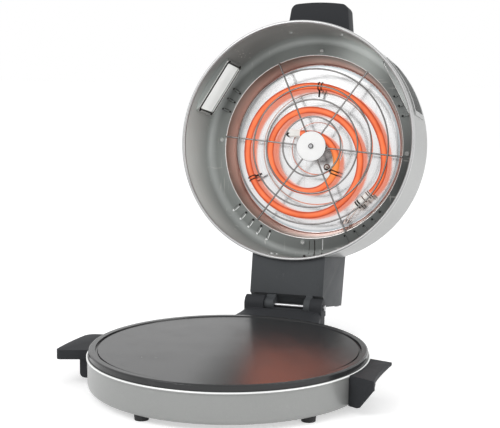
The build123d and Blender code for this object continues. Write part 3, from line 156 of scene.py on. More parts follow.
def addFloor():
    mesh = bpy.data.meshes.new("floor")
    shape = bmesh.new()
    bmesh.ops.create_grid(shape, x_segments=1, y_segments=1, size=studio["floorSize"])
    shape.to_mesh(mesh)
    shape.free()
    floor = bpy.data.objects.new("floor", mesh)
    bpy.context.scene.collection.objects.link(floor)
    material = bpy.data.materials.new("paleFloor")
    material.use_nodes = True
    tree = material.node_tree
    tree.nodes.clear()
    output = tree.nodes.new("ShaderNodeOutputMaterial")
    matt = tree.nodes.new("ShaderNodeBsdfDiffuse")
    matt.inputs["Color"].default_value = studio["floorColor"]
    lift = tree.nodes.new("ShaderNodeEmission")
    path = tree.nodes.new("ShaderNodeLightPath")
    seen = tree.nodes.new("ShaderNodeMath")
    seen.operation = "MAXIMUM"
    strength = tree.nodes.new("ShaderNodeMath")
    strength.operation = "MULTIPLY"
    strength.inputs[1].default_value = studio["floorLift"]
    both = tree.nodes.new("ShaderNodeAddShader")
    link = tree.links.new
    link(path.outputs["Is Camera Ray"], seen.inputs[0])
    link(path.outputs["Is Glossy Ray"], seen.inputs[1])
    link(seen.outputs[0], strength.inputs[0])
    link(strength.outputs[0], lift.inputs["Strength"])
    link(matt.outputs[0], both.inputs[0])
    link(lift.outputs[0], both.inputs[1])
    link(both.outputs[0], output.inputs["Surface"])
    mesh.materials.append(material)


addWorld()
addFloor()
for lamp in studio["lamps"]:
    addLamp(*lamp)
bpy.context.scene.view_settings.view_transform = "Standard"
print("studio lit")


def startGroup(name, inputs, outputs):
    group = bpy.data.node_groups.new(name, "ShaderNodeTree")
    for label, kind, value in inputs:
        socket = group.interface.new_socket(label, in_out="INPUT", socket_type=kind)
        socket.default_value = value
    for label, kind in outputs:
        group.interface.new_socket(label, in_out="OUTPUT", socket_type=kind)
    entry = group.nodes.new("NodeGroupInput")
    leave = group.nodes.new("NodeGroupOutput")
    return group, entry, leave


def mathNode(tree, operation, first, second=None):
    node = tree.nodes.new("ShaderNodeMath")
    node.operation = operation
    for socket, value in zip(node.inputs, (first, second)):
        if value is None:
            continue
        if isinstance(value, (int, float)):
            socket.default_value = value
        else:
            tree.links.new(value, socket)
    return node.outputs[0]


def mixColor(tree, share, first, second):
    node = tree.nodes.new("ShaderNodeMix")
    node.data_type = "RGBA"
    for socket, value in ((node.inputs["Factor"], share), (node.inputs["A"], first), (node.inputs["B"], second)):
        if isinstance(value, (int, float, tuple)):
            socket.default_value = value
        else:
            tree.links.new(value, socket)
    return node.outputs["Result"]


def noiseNode(tree, vector, scale, detail, roughness=0.5):
    node = tree.nodes.new("ShaderNodeTexNoise")
    node.inputs["Detail"].default_value = detail
    node.inputs["Roughness"].default_value = roughness
    tree.links.new(vector, node.inputs["Vector"])
    if isinstance(scale, (int, float)):
        node.inputs["Scale"].default_value = scale
    else:
        tree.links.new(scale, node.inputs["Scale"])
    return node.outputs["Fac"]


def rangeNode(tree, value, low, high, toLow=0.0, toHigh=1.0):
    node = tree.nodes.new("ShaderNodeMapRange")
    tree.links.new(value, node.inputs["Value"])
    for label, number in (("From Min", low), ("From Max", high), ("To Min", toLow), ("To Max", toHigh)):
        if isinstance(number, (int, float)):
            node.inputs[label].default_value = number
        else:
            tree.links.new(number, node.inputs[label])
    return node.outputs["Result"]


def scaleColor(tree, color, factor):
    node = tree.nodes.new("ShaderNodeVectorMath")
    node.operation = "SCALE"
    tree.links.new(color, node.inputs[0])
    tree.links.new(factor, node.inputs["Scale"])
    return node.outputs[0]


grainNoise = {
    "fineDetail": 3,
    "slowDetail": 4,
    "slowRoughness": 0.6,
    "fleckRange": (0.35, 0.7),
}
spunNoise = {
    "detail": 4,
    "roughness": 0.6,
    "range": (0.3, 0.7),
    "around": 0.0025,  # how little a ring changes along its way round
}
scuffNoise = {
    # turn and stretch of each direction of scratches
    "lines": (((0.2, 0.1, 0.6), (9, 260, 90)), ((0.1, 0.3, -0.9), (230, 12, 120))),
    "lineRange": (0.66, 0.74),
    "patchScale": 22.0,
    "patchDetail": 3,
    "patchRange": (0.5, 0.68),
    "rubbed": 0.12,
}


def buildGrainGroup():
    # fine grain for the bump, with slow blotches of tone and gloss and small bright flecks
    group, entry, leave = startGroup(
        "surfaceGrain",
        [
            ("Vector", "NodeSocketVector", (0, 0, 0)),
            ("Color", "NodeSocketColor", (0.5, 0.5, 0.5, 1)),
            ("Roughness", "NodeSocketFloat", 0.4),
            ("Grain Size", "NodeSocketFloat", 900.0),
            ("Blotch Size", "NodeSocketFloat", 14.0),
            ("Tone Change", "NodeSocketFloat", 0.06),
            ("Gloss Change", "NodeSocketFloat", 0.08),
            ("Fleck", "NodeSocketFloat", 0.0),
        ],
        [("Color", "NodeSocketColor"), ("Roughness", "NodeSocketFloat"), ("Height", "NodeSocketFloat")],
    )
    vector = entry.outputs["Vector"]
    fine = noiseNode(group, vector, entry.outputs["Grain Size"], grainNoise["fineDetail"])
    slow = noiseNode(
        group, vector, entry.outputs["Blotch Size"], grainNoise["slowDetail"], grainNoise["slowRoughness"]
    )
    swing = mathNode(group, "SUBTRACT", slow, 0.5)
    tone = mathNode(group, "MULTIPLY", swing, entry.outputs["Tone Change"])
    flecks = rangeNode(group, fine, *grainNoise["fleckRange"], -0.5, 0.5)
    sparkle = mathNode(group, "MULTIPLY", flecks, entry.outputs["Fleck"])
    factor = mathNode(group, "ADD", mathNode(group, "ADD", tone, sparkle), 1.0)
    group.links.new(scaleColor(group, entry.outputs["Color"], factor), leave.inputs["Color"])
    gloss = mathNode(group, "MULTIPLY", swing, entry.outputs["Gloss Change"])
    group.links.new(mathNode(group, "ADD", gloss, entry.outputs["Roughness"]), leave.inputs["Roughness"])
    group.links.new(fine, leave.inputs["Height"])
    return group


def buildSpunGroup():
    # rings left by a turning tool or by rolling, round the z axis of the vector it is given
    group, entry, leave = startGroup(
        "spunRings",
        [
            ("Vector", "NodeSocketVector", (0, 0, 0)),
            ("Color", "NodeSocketColor", (0.5, 0.5, 0.5, 1)),
            ("Roughness", "NodeSocketFloat", 0.3),
            ("Ring Density", "NodeSocketFloat", 700.0),
            ("Tone Change", "NodeSocketFloat", 0.1),
            ("Gloss Change", "NodeSocketFloat", 0.1),
        ],
        [("Color", "NodeSocketColor"), ("Roughness", "NodeSocketFloat"), ("Height", "NodeSocketFloat")],
    )
    split = group.nodes.new("ShaderNodeSeparateXYZ")
    group.links.new(entry.outputs["Vector"], split.inputs[0])
    across, along, height = split.outputs
    squares = [mathNode(group, "MULTIPLY", value, value) for value in (across, along)]
    reach = mathNode(group, "SQRT", mathNode(group, "ADD", *squares))
    angle = mathNode(group, "ABSOLUTE", mathNode(group, "ARCTAN2", along, across))
    place = group.nodes.new("ShaderNodeCombineXYZ")
    for socket, value in zip(place.inputs, (reach, height, mathNode(group, "MULTIPLY", angle, spunNoise["around"]))):
        group.links.new(value, socket)
    density = entry.outputs["Ring Density"]
    rings = noiseNode(group, place.outputs[0], density, spunNoise["detail"], spunNoise["roughness"])
    swing = rangeNode(group, rings, *spunNoise["range"], -0.5, 0.5)
    factor = mathNode(group, "ADD", mathNode(group, "MULTIPLY", swing, entry.outputs["Tone Change"]), 1.0)
    group.links.new(scaleColor(group, entry.outputs["Color"], factor), leave.inputs["Color"])
    gloss = mathNode(group, "MULTIPLY", swing, entry.outputs["Gloss Change"])
    group.links.new(mathNode(group, "ADD", gloss, entry.outputs["Roughness"]), leave.inputs["Roughness"])
    group.links.new(rings, leave.inputs["Height"])
    return group


def buildScuffGroup():
    # thin scratches in two directions and faint rubbed patches
    group, entry, leave = startGroup(
        "handlingMarks",
        [
            ("Vector", "NodeSocketVector", (0, 0, 0)),
            ("Color", "NodeSocketColor", (0.5, 0.5, 0.5, 1)),
            ("Mark Color", "NodeSocketColor", (0.6, 0.6, 0.6, 1)),
            ("Roughness", "NodeSocketFloat", 0.3),
            ("Amount", "NodeSocketFloat", 0.3),
        ],
        [("Color", "NodeSocketColor"), ("Roughness", "NodeSocketFloat"), ("Mask", "NodeSocketFloat")],
    )
    found = None
    for turn, stretch in scuffNoise["lines"]:
        mapping = group.nodes.new("ShaderNodeMapping")
        mapping.inputs["Rotation"].default_value = turn
        mapping.inputs["Scale"].default_value = stretch
        group.links.new(entry.outputs["Vector"], mapping.inputs["Vector"])
        line = rangeNode(group, noiseNode(group, mapping.outputs[0], 1.0, 1), *scuffNoise["lineRange"])
        found = line if found is None else mathNode(group, "MAXIMUM", found, line)
    patches = noiseNode(group, entry.outputs["Vector"], scuffNoise["patchScale"], scuffNoise["patchDetail"])
    patch = rangeNode(group, patches, *scuffNoise["patchRange"])
    mask = mathNode(group, "MULTIPLY", mathNode(group, "MULTIPLY", found, patch), entry.outputs["Amount"])
    group.links.new(mixColor(group, mask, entry.outputs["Color"], entry.outputs["Mark Color"]), leave.inputs["Color"])
    rubbed = mathNode(group, "MULTIPLY", patch, entry.outputs["Amount"])
    rubbed = mathNode(group, "MULTIPLY", rubbed, scuffNoise["rubbed"])
    group.links.new(mathNode(group, "ADD", rubbed, entry.outputs["Roughness"]), leave.inputs["Roughness"])
    group.links.new(mask, leave.inputs["Mask"])
    return group


grainGroup = buildGrainGroup()
spunGroup = buildSpunGroup()
scuffGroup = buildScuffGroup()


def placeGroup(tree, group, values):
    node = tree.nodes.new("ShaderNodeGroup")
    node.node_tree = group
    for label, value in values.items():
        if hasattr(value, "links"):
            tree.links.new(value, node.inputs[label])
        else:
            node.inputs[label].default_value = value
    return node


def newMaterial(name):
    material = bpy.data.materials.new(name)
    material.use_nodes = True
    tree = material.node_tree
    tree.nodes.clear()
    output = tree.nodes.new("ShaderNodeOutputMaterial")
    surface = tree.nodes.new("ShaderNodeBsdfPrincipled")
    tree.links.new(surface.outputs[0], output.inputs["Surface"])
    return material, tree, surface


def centredVector(tree, matrix):
    # object coordinates turned and shifted to the axes that the matrix places
    place = tree.nodes.new("ShaderNodeTexCoord")
    mapping = tree.nodes.new("ShaderNodeMapping")
    back = matrix.inverted()
    mapping.inputs["Rotation"].default_value = back.to_euler()
    mapping.inputs["Location"].default_value = back.to_translation()
    tree.links.new(place.outputs["Object"], mapping.inputs["Vector"])
    return mapping.outputs["Vector"]


plainLook = {
    "grainSize": 900.0,
    "blotchSize": 16.0,
    "toneChange": 0.08,
    "glossChange": 0.1,
    "fleck": 0.0,
    "ringDensity": 700.0,
    "ringGloss": 0.1,
    "facingBlend": 0.5,
    "shadedEdgeRange": (0.1, 0.6),
    "bump": 0.2,
    "depth": 0.00005,
    "metallic": 0.0,
    "specular": 0.5,
    "coat": 0.0,
    "coatRoughness": 0.1,
}


def makeFinish(name, ownLook, matrix=None):
    look = {**plainLook, **ownLook}
    material, tree, surface = newMaterial(name)
    vector = centredVector(tree, matrix or basePlace)
    grain = placeGroup(
        tree,
        grainGroup,
        {
            "Vector": vector,
            "Color": (*look["color"], 1),
            "Roughness": look["roughness"],
            "Grain Size": look["grainSize"],
            "Blotch Size": look["blotchSize"],
            "Tone Change": look["toneChange"],
            "Gloss Change": look["glossChange"],
            "Fleck": look["fleck"],
        },
    )
    color, rough, height = grain.outputs
    if "ringTone" in look:
        rings = placeGroup(
            tree,
            spunGroup,
            {
                "Vector": vector,
                "Color": color,
                "Roughness": rough,
                "Ring Density": look["ringDensity"],
                "Tone Change": look["ringTone"],
                "Gloss Change": look["ringGloss"],
            },
        )
        color, rough, height = rings.outputs
    # painted light and shade: soft pools round given centres make the colour paler or darker
    for centre, reach, gain in look.get("paintedLightAndShade", ()):
        away = tree.nodes.new("ShaderNodeVectorMath")
        away.operation = "DISTANCE"
        away.inputs[1].default_value = [value * mm for value in centre]
        tree.links.new(vector, away.inputs[0])
        share = rangeNode(tree, away.outputs["Value"], 0.0, reach * mm, 1.0 + gain, 1.0)
        share.node.interpolation_type = "SMOOTHSTEP"
        color = scaleColor(tree, color, share)
    # painted shade: the colour turns to edgeColor where the surface turns away from the camera, standing in for dark
    # reflections at the sides
    if "edgeColor" in look:
        facing = tree.nodes.new("ShaderNodeLayerWeight")
        facing.inputs["Blend"].default_value = look["facingBlend"]
        share = rangeNode(tree, facing.outputs["Facing"], *look["shadedEdgeRange"])
        color = mixColor(tree, share, color, (*look["edgeColor"], 1))
    if "marks" in look:
        marks = placeGroup(
            tree,
            scuffGroup,
            {
                "Vector": vector,
                "Color": color,
                "Roughness": rough,
                "Mark Color": (*look["markColor"], 1),
                "Amount": look["marks"],
            },
        )
        color, rough = marks.outputs[:2]
    tree.links.new(color, surface.inputs["Base Color"])
    tree.links.new(rough, surface.inputs["Roughness"])
    bump = tree.nodes.new("ShaderNodeBump")
    bump.inputs["Strength"].default_value = look["bump"]
    bump.inputs["Distance"].default_value = look["depth"]
    tree.links.new(height, bump.inputs["Height"])
    tree.links.new(bump.outputs[0], surface.inputs["Normal"])
    surface.inputs["Metallic"].default_value = look["metallic"]
    surface.inputs["Specular IOR Level"].default_value = look["specular"]
    surface.inputs["Coat Weight"].default_value = look["coat"]
    surface.inputs["Coat Roughness"].default_value = look["coatRoughness"]
    # lift is painted light: the colour is also given out as emission, so the surface reads brighter than its lamps
    # make it
    if "lift" in look:
        tree.links.new(color, surface.inputs["Emission Color"])
        surface.inputs["Emission Strength"].default_value = look["lift"]
    return material


finishes = {
    "body_paint": {"color": (0.355, 0.362, 0.355), "metallic": 0.2, "roughness": 0.36, "grainSize": 1500.0,
        "fleck": 0.14, "bump": 0.08, "coat": 0.25, "coatRoughness": 0.12, "marks": 0.1, "markColor": (0.6, 0.6, 0.6)},
    "rim_metal": {"color": (0.5, 0.5, 0.5), "metallic": 1.0, "roughness": 0.3, "ringTone": 0.12,
        "ringDensity": 1400.0, "bump": 0.05},
    "liner_metal": {"color": (0.33, 0.345, 0.335), "metallic": 0.3, "roughness": 0.5, "ringTone": 0.06,
        "ringDensity": 420.0, "blotchSize": 9.0, "toneChange": 0.12, "bump": 0.1, "marks": 0.8,
        "markColor": (0.75, 0.74, 0.7),
        # centre, reach and gain of each pool of painted light (gain above zero) and painted shade (gain below zero)
        "paintedLightAndShade": (
            ((-190, 30, 0), 180, 1.75), ((-120, 150, 40), 120, 0.5), ((40, 180, 110), 110, -0.25),
            ((85, -165, 105), 85, 1.5), ((180, -75, 60), 80, 0.9), ((-40, -185, 110), 90, 0.3),
            ((185, 60, 90), 130, -0.75), ((110, 160, 110), 100, -0.3))},
    "nonstick": {"color": (0.027, 0.028, 0.029), "roughness": 0.22, "specular": 0.42, "grainSize": 2400.0,
        "fleck": 0.5, "ringTone": 0.12, "ringDensity": 260.0, "ringGloss": 0.04, "bump": 0.1, "marks": 0.25,
        "markColor": (0.07, 0.07, 0.07)},
    "grey_plastic": {"color": (0.046, 0.048, 0.052), "roughness": 0.55, "specular": 0.08, "grainSize": 1900.0,
        "fleck": 0.2, "bump": 0.5, "depth": 0.00008, "marks": 0.2, "markColor": (0.1, 0.1, 0.1)},
    "box_plastic": {"color": (0.075, 0.08, 0.085), "roughness": 0.5, "specular": 0.2, "grainSize": 1900.0,
        "fleck": 0.25, "bump": 0.5, "depth": 0.00008, "marks": 0.5, "markColor": (0.13, 0.135, 0.14)},
    "black_plastic": {"color": (0.014, 0.014, 0.015), "roughness": 0.38, "specular": 0.4, "grainSize": 1700.0,
        "bump": 0.3},
    "rubber": {"color": (0.02, 0.02, 0.021), "roughness": 0.72, "grainSize": 1300.0, "bump": 0.6},
    "steel": {"color": (0.5, 0.5, 0.51), "metallic": 1.0, "roughness": 0.3, "grainSize": 1200.0, "bump": 0.15,
        "marks": 0.3, "markColor": (0.75, 0.75, 0.75)},
    "brass": {"color": (0.72, 0.53, 0.22), "metallic": 1.0, "roughness": 0.28, "bump": 0.1},
    # ceramic's lift is painted light that brightens the white ends
    "ceramic": {"color": (0.93, 0.92, 0.88), "roughness": 0.5, "lift": 0.3, "grainSize": 1500.0, "blotchSize": 120.0,
        "toneChange": 0.2, "bump": 0.3},
    "insulation": {"color": (0.66, 0.63, 0.55), "roughness": 0.95, "grainSize": 420.0, "bump": 1.0,
        "depth": 0.0006},
    "element_steel": {"color": (0.13, 0.125, 0.12), "metallic": 0.8, "roughness": 0.5, "bump": 0.4,
        "blotchSize": 60.0, "toneChange": 0.4},
    # chrome_wire's edgeColor is painted shade at the wire's sides
    "chrome_wire": {"color": (0.31, 0.30, 0.295), "metallic": 1.0, "roughness": 0.22,
        "edgeColor": (0.03, 0.028, 0.027), "grainSize": 2500.0, "blotchSize": 90.0, "toneChange": 0.25, "bump": 0.1},
    # hub_white's lift is painted light that brightens the hub
    "hub_white": {"color": (0.95, 0.95, 0.945), "roughness": 0.35, "lift": 0.22, "bump": 0.1, "blotchSize": 80.0,
        "toneChange": 0.04},
    "dial_print": {"color": (0.6, 0.6, 0.61), "metallic": 0.6, "roughness": 0.35, "bump": 0.1},
    "burnt_wire": {"color": (0.022, 0.019, 0.017), "metallic": 0.5, "roughness": 0.42, "bump": 0.3,
        "blotchSize": 140.0, "toneChange": 0.6},
    "bright_bead": {"color": (0.92, 0.92, 0.91), "metallic": 1.0, "roughness": 0.14, "bump": 0.05,
        "blotchSize": 60.0, "toneChange": 0.1},
    # edge_glint is a painted highlight: a pale colour lifted by emission
    "edge_glint": {"color": (0.9, 0.9, 0.89), "roughness": 0.3, "lift": 0.35, "bump": 0.1, "blotchSize": 300.0,
        "toneChange": 0.5},
    # lip_shine is a painted highlight: a pale colour lifted by emission
    "lip_shine": {"color": (0.86, 0.87, 0.86), "metallic": 0.3, "roughness": 0.25, "lift": 0.2, "bump": 0.05,
        "blotchSize": 12.0, "toneChange": 0.15},
    "brown_glaze": {"color": (0.16, 0.07, 0.04), "roughness": 0.3, "bump": 0.2, "blotchSize": 150.0,
        "toneChange": 0.5},
    "lamp": {"color": (0.5, 0.03, 0.02), "roughness": 0.15, "bump": 0.05, "coat": 0.6, "coatRoughness": 0.05},
}

glow = {
    "middle": (1.0, 0.215, 0.075),
    # edge is painted shade: the darker colour the glow takes at the tube's sides
    "edge": (0.50, 0.06, 0.018),
    "clipColor": (1.0, 0.42, 0.06),
    # the colour that the glow's reflections are painted in
    "paintedReflectionColor": (1.12, 0.36, 0.235),
    "shed": 0.1,  # share of the glow that falls on what is round it
    "nearShare": 0.88,  # strength of the reflections close to the tube
    "nearReach": 0.055,  # and how far from it they reach
    "farReach": 0.085,
    "plateReach": 0.24,  # and again beyond this, on the baking plate
    "plateFade": 0.05,
    "directDepth": 1.5,  # only a first bounce takes these strengths
    "clipPlace": (26.0 * mm, 33.0 * mm, 131.0 * mm),
    "clipReach": 34.0 * mm,
    "clipShare": 0.8,
    "facingBlend": 0.5,
    "shadedEdgeRange": (0.03, 0.46),
    "unevenScale": 26.0,
    "unevenRange": (0.35, 0.65),
    "uneven": (-0.14, 0.3),
    "grainSize": 900.0,
    "grainRange": (0.3, 0.7),
    "grainColors": ((0.05, 0.016, 0.01, 1), (0.09, 0.03, 0.02, 1)),
    "roughness": (0.42, 0.58),
}


def radiusOf(tree, vector):
    split = tree.nodes.new("ShaderNodeSeparateXYZ")
    tree.links.new(vector, split.inputs[0])
    across, along = split.outputs[:2]
    squares = [mathNode(tree, "MULTIPLY", value, value) for value in (across, along)]
    return mathNode(tree, "SQRT", mathNode(tree, "ADD", *squares)), split.outputs[2]


def beyondPlate(tree, path):
    reach = glow["plateReach"]
    return rangeNode(tree, path.outputs["Ray Length"], reach, reach + glow["plateFade"])


def makeHeaterGlow():
    material, tree, surface = newMaterial("heaterGlow")
    vector = centredVector(tree, lidPlace)
    slow = noiseNode(tree, vector, glow["unevenScale"], 3)
    uneven = rangeNode(tree, slow, *glow["unevenRange"], *glow["uneven"])
    facing = tree.nodes.new("ShaderNodeLayerWeight")
    facing.inputs["Blend"].default_value = glow["facingBlend"]
    # painted shade: the glow darkens towards the tube's sides
    edge = mathNode(tree, "ADD", rangeNode(tree, facing.outputs["Facing"], *glow["shadedEdgeRange"]), uneven)
    away = tree.nodes.new("ShaderNodeVectorMath")
    away.operation = "DISTANCE"
    away.inputs[1].default_value = glow["clipPlace"]
    tree.links.new(vector, away.inputs[0])
    nearClip = rangeNode(tree, away.outputs["Value"], 0.0, glow["clipReach"], glow["clipShare"], 0.0)
    color = mixColor(tree, edge, (*glow["middle"], 1), (*glow["edge"], 1))
    color = mixColor(tree, nearClip, color, (*glow["clipColor"], 1))
    path = tree.nodes.new("ShaderNodeLightPath")
    # painted reflection: glossy rays see the glow in a paler salmon colour
    color = mixColor(tree, path.outputs["Is Glossy Ray"], color, (*glow["paintedReflectionColor"], 1))
    tree.links.new(color, surface.inputs["Emission Color"])
    near = rangeNode(
        tree, path.outputs["Ray Length"], glow["nearReach"], glow["farReach"], glow["nearShare"], glow["shed"]
    )
    direct = mathNode(tree, "LESS_THAN", path.outputs["Ray Depth"], glow["directDepth"])
    far = beyondPlate(tree, path)
    near = mathNode(tree, "MULTIPLY", mathNode(tree, "MAXIMUM", near, far), direct)
    near = mathNode(tree, "MAXIMUM", near, glow["shed"])
    seen = mathNode(tree, "MAXIMUM", near, path.outputs["Is Camera Ray"])
    bounced = mathNode(tree, "MAXIMUM", path.outputs["Is Diffuse Ray"], path.outputs["Is Glossy Ray"])
    strength = tree.nodes.new("ShaderNodeMix")
    tree.links.new(bounced, strength.inputs[0])
    strength.inputs[2].default_value = 1.0
    tree.links.new(seen, strength.inputs[3])
    tree.links.new(strength.outputs[0], surface.inputs["Emission Strength"])
    grain = noiseNode(tree, vector, glow["grainSize"], 2)
    tree.links.new(mixColor(tree, grain, *glow["grainColors"]), surface.inputs["Base Color"])
    tree.links.new(rangeNode(tree, grain, *glow["grainRange"], *glow["roughness"]), surface.inputs["Roughness"])
    return material


dish = {
    "wallRadius": 151.0 * mm,
    "wallFade": 2.5 * mm,
    "edgeBand": (6 * mm, 2 * mm),  # inside the wall's radius
    "depths": (140.0 * mm, 116.0 * mm),
    "floorColor": (0.80, 0.80, 0.805),
    "wallColor": (0.90, 0.60, 0.50),
    "mouthColor": (0.31, 0.275, 0.24),
    "edgeColor": (0.45, 0.49, 0.51),
    "plateReflectionTint": (0.58, 0.19, 0.13),
    "floorRoughness": 0.18,
    "wallRoughness": 0.4,
    "ringDensity": 460.0,
    "ringTone": 0.07,
    "ringGloss": 0.1,
    "markColor": (0.6, 0.56, 0.52),
    "marks": 0.5,
    "bump": 0.25,
    "depth": 0.0001,
}


def makeDishMirror():
    material, tree, surface = newMaterial("dishMirror")
    vector = centredVector(tree, lidPlace)
    reach, height = radiusOf(tree, vector)
    wall = rangeNode(tree, reach, dish["wallRadius"], dish["wallRadius"] + dish["wallFade"])
    edge = rangeNode(tree, reach, *(dish["wallRadius"] - inside for inside in dish["edgeBand"]))
    color = mixColor(tree, edge, (*dish["floorColor"], 1), (*dish["edgeColor"], 1))
    outer = rangeNode(tree, height, *dish["depths"])
    color = mixColor(tree, wall, color, mixColor(tree, outer, (*dish["wallColor"], 1), (*dish["mouthColor"], 1)))
    path = tree.nodes.new("ShaderNodeLightPath")
    # painted reflection: where the dish is seen mirrored from afar, as in the baking plate, its colour is tinted red
    # like the glow
    far = mathNode(tree, "MULTIPLY", beyondPlate(tree, path), path.outputs["Is Glossy Ray"])
    color = mixColor(tree, far, color, (*dish["plateReflectionTint"], 1))
    rough = rangeNode(tree, wall, 0.0, 1.0, dish["floorRoughness"], dish["wallRoughness"])
    rings = placeGroup(tree, spunGroup, {"Vector": vector, "Color": color, "Roughness": rough,
        "Ring Density": dish["ringDensity"], "Tone Change": dish["ringTone"], "Gloss Change": dish["ringGloss"]})
    marks = placeGroup(tree, scuffGroup, {"Vector": vector, "Color": rings.outputs[0], "Roughness": rings.outputs[1],
        "Mark Color": (*dish["markColor"], 1), "Amount": dish["marks"]})
    tree.links.new(marks.outputs[0], surface.inputs["Base Color"])
    tree.links.new(marks.outputs[1], surface.inputs["Roughness"])
    bump = tree.nodes.new("ShaderNodeBump")
    bump.inputs["Strength"].default_value = dish["bump"]
    bump.inputs["Distance"].default_value = dish["depth"]
    tree.links.new(rings.outputs[2], bump.inputs["Height"])
    tree.links.new(bump.outputs[0], surface.inputs["Normal"])
    surface.inputs["Metallic"].default_value = 1.0
    return material


smears = {"scale": 30.0, "range": (0.3, 0.7), "roughness": (0.05, 0.16), "refraction": 1.46}


def makePane(name, look):
    material, tree, surface = newMaterial(name)
    vector = centredVector(tree, lidPlace)
    smear = noiseNode(tree, vector, smears["scale"], 3)
    tree.links.new(rangeNode(tree, smear, *smears["range"], *smears["roughness"]), surface.inputs["Roughness"])
    color = mixColor(tree, smear, (*look["low"], 1), (*look["high"], 1))
    tree.links.new(color, surface.inputs["Base Color"])
    # painted light: the pane gives out its own colour as emission, as strong as its lift
    tree.links.new(color, surface.inputs["Emission Color"])
    surface.inputs["Emission Strength"].default_value = look["lift"]
    surface.inputs["Transmission Weight"].default_value = look["clear"]
    surface.inputs["IOR"].default_value = smears["refraction"]
    return material


panes = {
    # the left pane's lift is painted light that keeps it bright
    "window_glass_left": {"low": (0.91, 0.93, 0.92), "high": (1.0, 1.0, 0.99), "lift": 0.2, "clear": 0.45},
    "window_glass_right": {"low": (0.14, 0.145, 0.15), "high": (0.3, 0.31, 0.31), "lift": 0.0, "clear": 0.5},
}


rim = {
    "lines": (199.9 * mm, 202.9 * mm),
    "lineHalf": 0.5 * mm,
    "lineShare": 0.9,
    "grooveShadeColor": (0.2, 0.2, 0.2),
}


def makeRimMetal():
    # the turned ring round the lid's mouth, with painted shade darkening its two rolled grooves
    material = makeFinish("rimTurned", finishes["rim_metal"], lidPlace)
    tree = material.node_tree
    surface = [node for node in tree.nodes if node.type == "BSDF_PRINCIPLED"][0]
    base = surface.inputs["Base Color"].links[0].from_socket
    reach = radiusOf(tree, centredVector(tree, lidPlace))[0]
    # painted shade darkens the ring along each groove line
    for line in rim["lines"]:
        off = mathNode(tree, "ABSOLUTE", mathNode(tree, "SUBTRACT", reach, line))
        share = rangeNode(tree, off, 0.0, rim["lineHalf"], rim["lineShare"], 0.0)
        base = mixColor(tree, share, base, (*rim["grooveShadeColor"], 1))
    tree.links.new(base, surface.inputs["Base Color"])
    return material


materials = {slot: makeFinish(slot, look) for slot, look in finishes.items()}
materials["element_glow"] = makeHeaterGlow()
materials["mirror_metal"] = makeDishMirror()
for node in ("dish_screws", "wall_screws"):
    materials[node] = materials["bright_bead"]
for node in ("box_housing", "box_cover"):
    materials[node] = materials["box_plastic"]
for node, look in panes.items():
    materials[node] = makePane(node + "Glass", look)
for slot in ("liner_metal", "body_paint"):
    materials[slot + "_lid"] = makeFinish(slot + "Lid", finishes[slot], lidPlace)
materials["rim_metal"] = makeRimMetal()
slotOf = {part["node"]: part["material_slot"] for part in frame["record"]["subparts"]}
bodyOf = {node: body for body, members in frame["record"]["behaviour"]["bodies"].items() for node in members}


def finishOf(node):
    if node in materials:
        return materials[node]
    slot = slotOf[node]
    return materials.get(slot + "_lid" if bodyOf[node] == "lid" else slot) or materials[slot]


for name, node in nodes.items():
    node.material_slots[0].material = finishOf(name)
print("frame nodes finished")


smoothLimit = math.radians(32)


def newPiece(name, shape, node, extra=(), replaced=()):
    # a finished piece in the frame, on the body of a CAD node, with that node's finish or the finishes given
    for edge in shape.edges:
        edge.smooth = edge.calc_face_angle(0) < smoothLimit
    for face in shape.faces:
        face.smooth = True
    mesh = bpy.data.meshes.new(name)
    shape.to_mesh(mesh)
    shape.free()
    for material in extra or [finishOf(node)]:
        mesh.materials.append(material)
    piece = bpy.data.objects.new(name, mesh)
    bpy.context.scene.collection.objects.link(piece)
    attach(piece, bodyOf[node])
    if replaced:
        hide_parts(*replaced)
    return piece


edgeRounding = {
    "lid_handle": 2.2,
    "left_handle": 2.2,
    "right_handle": 1.5,
    "hinge_bracket": 1.0,
    "box_housing": 1.2,
    "box_cover": 0.8,
    "control_knob": 0.8,
}


rounding = {"merge": 0.00001, "flat": math.radians(1.0), "sharp": math.radians(40), "steps": 3}
webFace = {
    "node": "right_handle",
    "root": (190, -58),
    "tip": (235, -80),
    "from": 29.5,
    "to": 41.0,
    "sunk": 0.03,
    "deep": 5.6,
    "low": 35.2,
    "high": 44.8,
}


def evenWebFace(shape):
    # the web's front face runs on unbroken past the start of the handle's undercut
    root, tip = Vector((*webFace["root"], 0)), Vector((*webFace["tip"], 0))
    along = (tip - root).normalized()
    inward = Vector((-along.y, along.x, 0))
    size = Vector((webFace["to"] - webFace["from"], webFace["deep"], webFace["high"] - webFace["low"]))
    middle = root + along * (webFace["from"] + size.x / 2) + inward * (webFace["sunk"] + size.y / 2)
    middle.z = webFace["low"] + size.z / 2
    turned = Matrix((along, inward, (0, 0, 1))).transposed().to_4x4()
    place = Matrix.Translation(middle * mm) @ turned @ Matrix.Diagonal((*size * mm, 1))
    bmesh.ops.create_cube(shape, size=1, matrix=place)


def roundedCopy(node, width):
    # a CAD node's shape, merged and with its sharp edges rounded
    shape = bmesh.new()
    shape.from_mesh(nodes[node].data)
    bmesh.ops.remove_doubles(shape, verts=shape.verts, dist=rounding["merge"])
    bmesh.ops.dissolve_limit(shape, angle_limit=rounding["flat"], verts=shape.verts, edges=shape.edges)
    sharp = [edge for edge in shape.edges if edge.is_manifold and edge.calc_face_angle(0) > rounding["sharp"]]
    bmesh.ops.bevel(shape, geom=sharp, offset=width * mm, offset_type="OFFSET", affect="EDGES",
        segments=rounding["steps"], profile=0.5, material=-1, clamp_overlap=True)
    if node == webFace["node"]:
        evenWebFace(shape)
    return newPiece(node + "Rounded", shape, node, replaced=[node])


for node, width in edgeRounding.items():
    roundedCopy(node, width)
print("plastic pieces rounded")


def onLid(x, y, height):
    return lidPlace @ Vector((x * mm, y * mm, height * mm))


wireSides = 12


